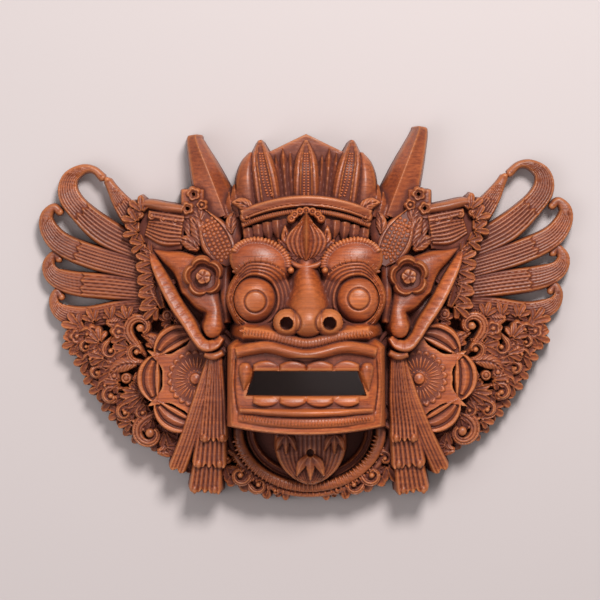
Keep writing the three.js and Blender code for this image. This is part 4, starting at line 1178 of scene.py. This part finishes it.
class Rows:
    """Rows of small forms on the carved heights, gathered and joined into one piece."""

    def __init__(self, reliefs, tree, wood):
        self.reliefs, self.tree, self.wood = reliefs, tree, wood
        self.ground = None

    def height(self, x, y):
        """Height of the carved ground under each place."""
        r = self.reliefs[self.ground]
        i = np.clip(((np.asarray(x) - r.x[0, 0]) / CELL).round().astype(int), 0, r.x.shape[1] - 1)
        j = np.clip(((np.asarray(y) - r.y[0, 0]) / CELL).round().astype(int), 0, r.y.shape[0] - 1)
        return r.top[j, i]

    def row(self, path, count, across, along, high, closed=False):
        """A row of forms along a path, only where its ground is carved."""
        points = spline(path, 6) if len(path) > 2 and not closed else np.array(path, float)
        z = self.height(points[:, 0], points[:, 1]) - SINK
        points, z = points[z > GROUND_EDGE], z[z > GROUND_EDGE]
        curve = bpy.data.curves.new("row", "CURVE")
        curve.dimensions = "3D"
        line = curve.splines.new("POLY")
        line.points.add(len(points) - 1)
        flat = np.c_[(points[:, :2] + CENTRE) / 1000, z / 1000, np.ones(len(points))]
        line.points.foreach_set("co", flat.astype(np.float32).ravel())
        line.use_cyclic_u = closed
        holder = bpy.data.objects.new("row", curve)
        bpy.context.scene.collection.objects.link(holder)
        modifier = holder.modifiers.new("Forms", "NODES")
        modifier.node_group = self.tree
        ids = {s.name: s.identifier for s in self.tree.interface.items_tree if s.in_out == "INPUT"}
        for label, value in (("Count", count), ("Across", across / 1000), ("Along", along / 1000),
                             ("Height", high / 1000), ("Seed", count), ("Wood", self.wood)):
            modifier[ids[label]] = value
        graph = bpy.context.evaluated_depsgraph_get()
        mesh = bpy.data.meshes.new_from_object(holder.evaluated_get(graph), depsgraph=graph)
        bpy.data.objects.remove(holder)
        bpy.data.curves.remove(curve)
        return mesh

    def join(self, name, meshes):
        """One piece of wood from the rows."""
        places, faces, first = [], [], 0
        for mesh in meshes:
            count = len(mesh.vertices)
            flat = np.empty(3 * count, np.float32)
            mesh.vertices.foreach_get("co", flat)
            places.append(flat.reshape(-1, 3))
            mesh.calc_loop_triangles()
            tri = np.empty(3 * len(mesh.loop_triangles), np.int32)
            mesh.loop_triangles.foreach_get("vertices", tri)
            faces.append(tri.reshape(-1, 3) + first)
            first += count
            bpy.data.meshes.remove(mesh)
        marks = {"edge": np.full(first, FORM_WEAR), "golden": np.full(first, FORM_GOLDEN)}
        return solid_mesh(name, np.vstack(places), np.vstack(faces), marks)


def around(centre, radius, count=40):
    """Places on a circle."""
    angles = np.linspace(0, 2 * math.pi, count, endpoint=False)
    return [[centre[0] + radius * math.cos(a), centre[1] + radius * math.sin(a)] for a in angles]


def lip_rows(rows):
    """Bristles over the upper lip and under the lower one, and lashes over the lids."""
    upper = [p[:2] for p in wavy(LIP["bristles"], LIP["half"] - 5, 9, 0)]
    lower = [p[:2] for p in wavy(LIP["beard"], 51, 8, 0)]
    made = [rows.row(upper, 42, 3.4, 0.75, 1.3), rows.row(lower, 40, 3.0, 0.75, 1.2)]
    for side in (-1, 1):
        lashes = [[side * (EYE["u"] - 3 + 27 * math.cos(a)), EYE["y"] + 33 * math.sin(a)]
                  for a in np.radians(np.linspace(40, 140, 9))]
        made.append(rows.row(lashes, 25, 2.4, 0.65, 1.1))
    return made


def crown_rows(rows):
    """Two files of studs up each fin, and bars on the lower band of the brim."""
    made = []
    for side in (-1, 0, 1):
        foot, tip = side * CROWN["foot"], side * (CROWN["foot"] + CROWN["lean"])
        for lean in (-1.7, 1.7):
            path = [[foot + lean, BRIM["y"] + 5], [(foot + tip) / 2 + lean, 111],
                    [tip - side + lean * 0.6, 132]]
            made.append(rows.row(path, 17, 1.35, 1.1, 1.6))
    arc = [[t * BRIM["half"], BRIM["y"] - BRIM["fall"] * t * t - BRIM["drop"]] for t in np.linspace(-1, 1, 9)]
    made.append(rows.row(arc, 60, 2.2, 0.55, 1.0))
    return made


def collar_rows(rows):
    """Bars on both bands of the collar."""
    made = []
    for grow, count, across in ((0, 46, 4.2), (8, 52, 2.4)):
        angles = np.linspace(math.pi * 1.04, 1.96 * math.pi, 15)
        drop = COLLAR["top"] - COLLAR["bottom"] + grow * 0.8
        path = [[(COLLAR["half"] + grow) * math.cos(a), COLLAR["top"] + drop * math.sin(a)] for a in angles]
        made.append(rows.row(path, count, across, 1.1, 1.2))
    return made


def sun_rows(rows, side):
    """Beads round the sun's middle, and its rays."""
    centre = sun_centre(side)
    reach = SUN["radius"]
    return [rows.row(around(centre, reach * 0.27), 14, 0.9, 0.9, 0.9, closed=True),
            rows.row(around(centre, reach * 0.55), SUN["rays"], reach * 0.24, 0.85, 1.1, closed=True)]


def scale_rows(rows, side):
    """Scales in files on the pointed oval panel."""
    points = spline(placed(side, SCALED), 6)
    way = np.gradient(points[:, :2], axis=0)
    across = np.c_[-way[:, 1], way[:, 0]] / np.hypot(*way.T)[:, None]
    made = []
    for k in range(5):
        share = (k - 2) / 2 * 0.52
        path = points[:, :2] + across * (share * points[:, 2:3] / 2)
        path = path[3 + k % 2:-3 - k % 2]
        made.append(rows.row(path.tolist(), 12 - k % 2 - abs(k - 2), 1.9, 1.9, 1.5))
    return made


def field_rows(rows, side):
    """Beads round the outer side of the three large scrolls."""
    made = []
    for number, start, end in SCROLL_BEADS:
        (u, v), radius = FIELD_SCROLLS[number][:2]
        reach = radius + 1
        arc = [[u + reach * math.cos(a), v + reach * math.sin(a)]
               for a in np.radians(np.linspace(start, end, 12))]
        made.append(rows.row(placed(side, arc), int(reach * 1.4), 0.95, 0.95, 1.0))
    return made


# Wood

GRAIN_STRETCH, GRAIN_TURN = (14.0, 330.0, 150.0), 0.02  # long along X, and a little askew
GRAIN_SCALE, PATCH_SCALE, SPECK_SCALE = 1.6, 14.0, 420.0
DARK_GRAIN, PALE_GRAIN = (0.165, 0.031, 0.0105), (0.43, 0.112, 0.030)
DARK_PATCH, PATCH_SHARE = (0.50, 0.36, 0.32), 0.75
SKY_REFLECTION_TINT, YELLOWER = (0.78, 0.76, 0.98, 1), (1.34, 1.16, 0.85, 1)  # tints: a painted bluish sky reflection that also darkens the outer carving, and the golden tone of the face
SHADE_AND_STAIN, WORN_AND_HIGHLIT = (0.105, 0.021, 0.0115, 1), (0.60, 0.205, 0.060, 1)  # colours of the real dark stain with painted shade in the cuts, and of worn edges with painted highlight
SHADE_AND_STAIN_FROM, SHADE_AND_STAIN_FULL = 0.12, 0.74  # level where the painted shade and stain begin, and where they cover the wood
SPECKLE = 0.34  # how much the specks break up the border of the painted shade and stain
# Share of the lighter worn colour on edges and on painted highlights.
WEAR_AND_HIGHLIGHT = 0.55
SMOOTH, ROUGH = 0.34, 0.56  # roughness of the wood along its grain
SHADE_AND_STAIN_SMOOTH, SHADE_AND_STAIN_DULLS = 0.36, 0.5  # roughness where the painted shade and stain are thinnest, and what they add at full
COAT, COAT_ROUGHNESS = 0.14, 0.30
GRAIN_DEPTH, SPECK_DEPTH = 0.0005, 0.0012


def wood_finish():
    """Reddish brown wood with a waxed shine: dark stain and painted shade in the cuts, worn edges and the
    face's high forms with painted highlight, a painted bluish sky reflection on the outer carving, and grain
    across the face.
    """
    wood = bpy.data.materials.new("Waxed brown wood")
    wood.use_nodes = True
    tree = wood.node_tree
    add = adder(tree)

    def noise(vector, scale, detail, **more):
        inputs = {"Vector": vector, "Scale": scale, "Detail": detail, **more}
        return add("ShaderNodeTexNoise", inputs).outputs["Fac"]

    def ramp(value, *stops):
        node = add("ShaderNodeValToRGB", {"Fac": value})
        for element, (position, colour) in zip(node.color_ramp.elements, stops):
            element.position, element.color = position, (*colour, 1)
        return node.outputs["Color"]

    def mixed(factor, a, b, blend="MIX"):
        inputs = {"Factor": factor, "A": a, "B": b}
        return add("ShaderNodeMix", inputs, data_type="RGBA", blend_type=blend).outputs["Result"]

    def worked(operation, *values, **settings):
        node = add("ShaderNodeMath", dict(enumerate(values)), operation=operation, **settings)
        return node.outputs["Value"]

    def attribute(name):
        return add("ShaderNodeAttribute", attribute_name=name).outputs["Fac"]

    place = add("ShaderNodeTexCoord").outputs["Object"]
    stretch = add("ShaderNodeMapping", {"Vector": place, "Scale": GRAIN_STRETCH,
                                        "Rotation": (0, 0, GRAIN_TURN)})
    grain = noise(stretch.outputs["Vector"], GRAIN_SCALE, 5.0, Roughness=0.62, Distortion=0.35)
    speck = noise(place, SPECK_SCALE, 4.0)
    raised = ramp(grain, (0.30, DARK_GRAIN), (0.72, PALE_GRAIN))
    tint = ramp(noise(place, PATCH_SCALE, 3.0), (0.36, DARK_PATCH), (0.60, (1, 1, 1)))
    warm = mixed(PATCH_SHARE, raised, tint, "MULTIPLY")
    # The outer carving gets a darker, painted bluish sky reflection; the face its golden tone.
    hued = mixed(1.0, warm, mixed(attribute("golden"), SKY_REFLECTION_TINT, YELLOWER), "MULTIPLY")
    # Painted shade from the sky that each point doesn't see, with a real dark stain, darkens the cuts; specks
    # break up its border.
    uneven = worked("ADD", attribute("cut_shade_and_stain"), worked("MULTIPLY_ADD", speck, SPECKLE, -SPECKLE / 2))
    stain_and_shade = ramp(uneven, (SHADE_AND_STAIN_FROM, (0, 0, 0)), (SHADE_AND_STAIN_FULL, (1, 1, 1)))
    # Worn edges and the face's high forms turn lighter: real wear with painted highlight.
    highlight_and_wear = worked("MULTIPLY", attribute("edge"), WEAR_AND_HIGHLIGHT, use_clamp=True)
    colour = mixed(highlight_and_wear, mixed(stain_and_shade, hued, SHADE_AND_STAIN), WORN_AND_HIGHLIT)
    shine = add("ShaderNodeMapRange", {"Value": grain, "To Min": SMOOTH, "To Max": ROUGH}).outputs["Result"]
    rough = worked("MAXIMUM", shine, worked("MULTIPLY_ADD", stain_and_shade, SHADE_AND_STAIN_DULLS, SHADE_AND_STAIN_SMOOTH))
    fibres = add("ShaderNodeBump", {"Strength": 0.35, "Distance": GRAIN_DEPTH, "Height": grain})
    tooled = add("ShaderNodeBump", {"Strength": 0.25, "Distance": SPECK_DEPTH, "Height": speck,
                                    "Normal": fibres.outputs["Normal"]})
    skin = tree.nodes["Principled BSDF"]
    relief = tooled.outputs["Normal"]
    for label, source in (("Base Color", colour), ("Roughness", rough), ("Normal", relief)):
        tree.links.new(source, skin.inputs[label])
    skin.inputs["Coat Weight"].default_value = COAT
    skin.inputs["Coat Roughness"].default_value = COAT_ROUGHNESS
    return wood


def keep(piece, wood):
    """Gives a piece its wood, and its place on the body in the frame."""
    piece.data.materials.clear()
    piece.data.materials.append(wood)
    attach(piece, "root")
    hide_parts(NODE)


def gathered(reliefs):
    """The heights and the painted shade in the cuts of all forms together, over the whole board."""
    heights = np.zeros((len(YS), len(XS)))
    stain_and_shade = np.zeros(heights.shape)
    for r in reliefs.values():
        part = heights[r.j, r.i]
        above = (r.top > r.floor) & (r.top >= part)
        heights[r.j, r.i] = np.where(above, r.top, part)
        stain_and_shade[r.j, r.i] = np.where(above, r.stain_and_shade, stain_and_shade[r.j, r.i])
    return heights, stain_and_shade


def tones(heights, stain_and_shade):
    """Painted shade with stain, and wear with painted highlight, for each cell of the board, both from 0 to
    1.
    """
    # Painted shade: a cell that sees less of the sky, in a cut or beside a higher form, turns darker, and the
    # forms' shade cores are added; slopes are spared a little.
    sky = sky_view(heights)
    smooth = blurred(heights, TONE["blur"])
    slope = np.hypot(*np.gradient(smooth, CELL))
    plain = TONE["slope"] * slope / np.sqrt(slope**2 + TONE["slope_soft"])
    hidden = np.clip(1 - sky - plain, 0, 1)
    dip = 1 + np.clip(heights - smooth, -4, 2)
    deep = TONE["hidden"] * hidden ** TONE["hidden_power"]
    cut_shade_and_stain = np.clip(deep - TONE["dip"] * dip + TONE["stain_and_shade"] * stain_and_shade, 0, 1)
    # Raised edges show real wear, lightened more where they see more sky, which is painted light; the high
    # forms of the face above the jaw get a painted highlight.
    ridge = (heights - blurred(heights, TONE["edge_blur"])) / TONE["edge_rise"]
    face_highlight = smoothstep(heights, *TONE["face_highlight_heights"]) * smoothstep(YS, *TONE["face_highlight_y"])[:, None]
    lit = np.clip(sky * TONE["open_gain"] - TONE["open_from"], 0, 1)
    edge = np.clip(ridge, 0, 1) * lit + TONE["face_highlight"] * face_highlight * (1 - cut_shade_and_stain)
    return cut_shade_and_stain, np.clip(edge, 0, 1)


def make_mask():
    sides = ((-1, "left"), (1, "right"))
    reliefs = {"board": carve_board(), "face": carve_head(), "crown": carve_crown(),
               "forehead_jewel": carve_jewel(), "beard": carve_beard()}
    beside_face = {"horn": carve_horn, "ear": carve_ear, "ear_flower": carve_earring, "panels": carve_panels,
                   "sun": carve_sun, "leafwork": carve_leafwork, "tassels": carve_tassels}
    for side, word in sides:
        for name, carve in beside_face.items():
            reliefs[f"{word}_{name}"] = carve(side)
        for k, spine in enumerate(FEATHERS):
            reliefs[f"{word}_feather_{k + 1}"] = carve_feather(side, spine, 0.58 if k == 0 else 0.46)
    shades = tones(*gathered(reliefs))
    wood = wood_finish()
    for name, r in reliefs.items():
        step = BOARD_STEP if name == "board" else 1
        inner = FACE_INNER if name == "face" else PLAIN_INNER
        keep(carved_mesh(name, r, shades, step, inner), wood)
    rows = Rows(reliefs, repeat_tree(), wood)
    for name, ground, make in (("face_bristles", "face", lip_rows), ("crown_studs", "crown", crown_rows),
                               ("collar_bars", "beard", collar_rows)):
        rows.ground = ground
        keep(rows.join(name, make(rows)), wood)
    for side, word in sides:
        for name, ground, make in (("sun_rays", "sun", sun_rows), ("scroll_beads", "leafwork", field_rows),
                                   ("scales", "panels", scale_rows)):
            rows.ground = f"{word}_{ground}"
            keep(rows.join(f"{word}_{name}", make(rows, side)), wood)


# Floor, light and camera

CAMERA_HEIGHT = 2.0
VIEW_WIDTH = 0.5114  # width of the floor that the photograph's frame takes in
AIM = (-0.0051, 0.01065)  # middle of the frame, from the middle of the face
FLOOR_REACH, FLOOR_ROUGHNESS = 6.0, 0.85
FLOOR_COLOUR = (0.535, 0.475, 0.478, 1)
LIGHTS = (("key", (0.35, 1.05, 1.6), 0.6, 40, (1.0, 0.98, 0.95)),
          ("fill", (-1.2, -0.3, 1.5), 1.4, 9, (1, 1, 1)))  # name, place, size, watts, colour
SKY_COLOUR, SKY_STRENGTH = (1.0, 0.99, 0.97, 1), 0.36


def make_floor():
    mesh = bpy.data.meshes.new("floor")
    corners = [(x * FLOOR_REACH, y * FLOOR_REACH, 0) for x, y in ((-1, -1), (1, -1), (1, 1), (-1, 1))]
    mesh.from_pydata(corners, [], [(0, 1, 2, 3)])
    floor = bpy.data.objects.new("floor", mesh)
    bpy.context.scene.collection.objects.link(floor)
    pale = bpy.data.materials.new("Pale floor")
    pale.use_nodes = True
    skin = pale.node_tree.nodes["Principled BSDF"]
    skin.inputs["Base Color"].default_value = FLOOR_COLOUR
    skin.inputs["Roughness"].default_value = FLOOR_ROUGHNESS
    mesh.materials.append(pale)


def make_light(name, place, size, energy, colour):
    data = bpy.data.lights.new(name, "AREA")
    data.shape = "DISK"
    data.size, data.energy, data.color = size, energy, colour
    lamp = bpy.data.objects.new(name, data)
    lamp.location = place
    lamp.rotation_euler = (-Vector(place)).to_track_quat("-Z", "Y").to_euler()
    bpy.context.scene.collection.objects.link(lamp)


def make_stage():
    make_floor()
    for light in LIGHTS:
        make_light(*light)
    world = bpy.data.worlds.new("Soft room")
    world.use_nodes = True
    sky = world.node_tree.nodes["Background"]
    sky.inputs["Color"].default_value = SKY_COLOUR
    sky.inputs["Strength"].default_value = SKY_STRENGTH
    bpy.context.scene.world = world
    bpy.context.scene.view_settings.view_transform = "Standard"
    data = bpy.data.cameras.new("Camera")
    data.lens = data.sensor_width * CAMERA_HEIGHT / VIEW_WIDTH
    camera = bpy.data.objects.new("Camera", data)
    camera.location = (AIM[0] + CENTRE[0] / 1000, AIM[1] + CENTRE[1] / 1000, CAMERA_HEIGHT)
    bpy.context.scene.collection.objects.link(camera)
    bpy.context.scene.camera = camera


make_stage()
make_mask()
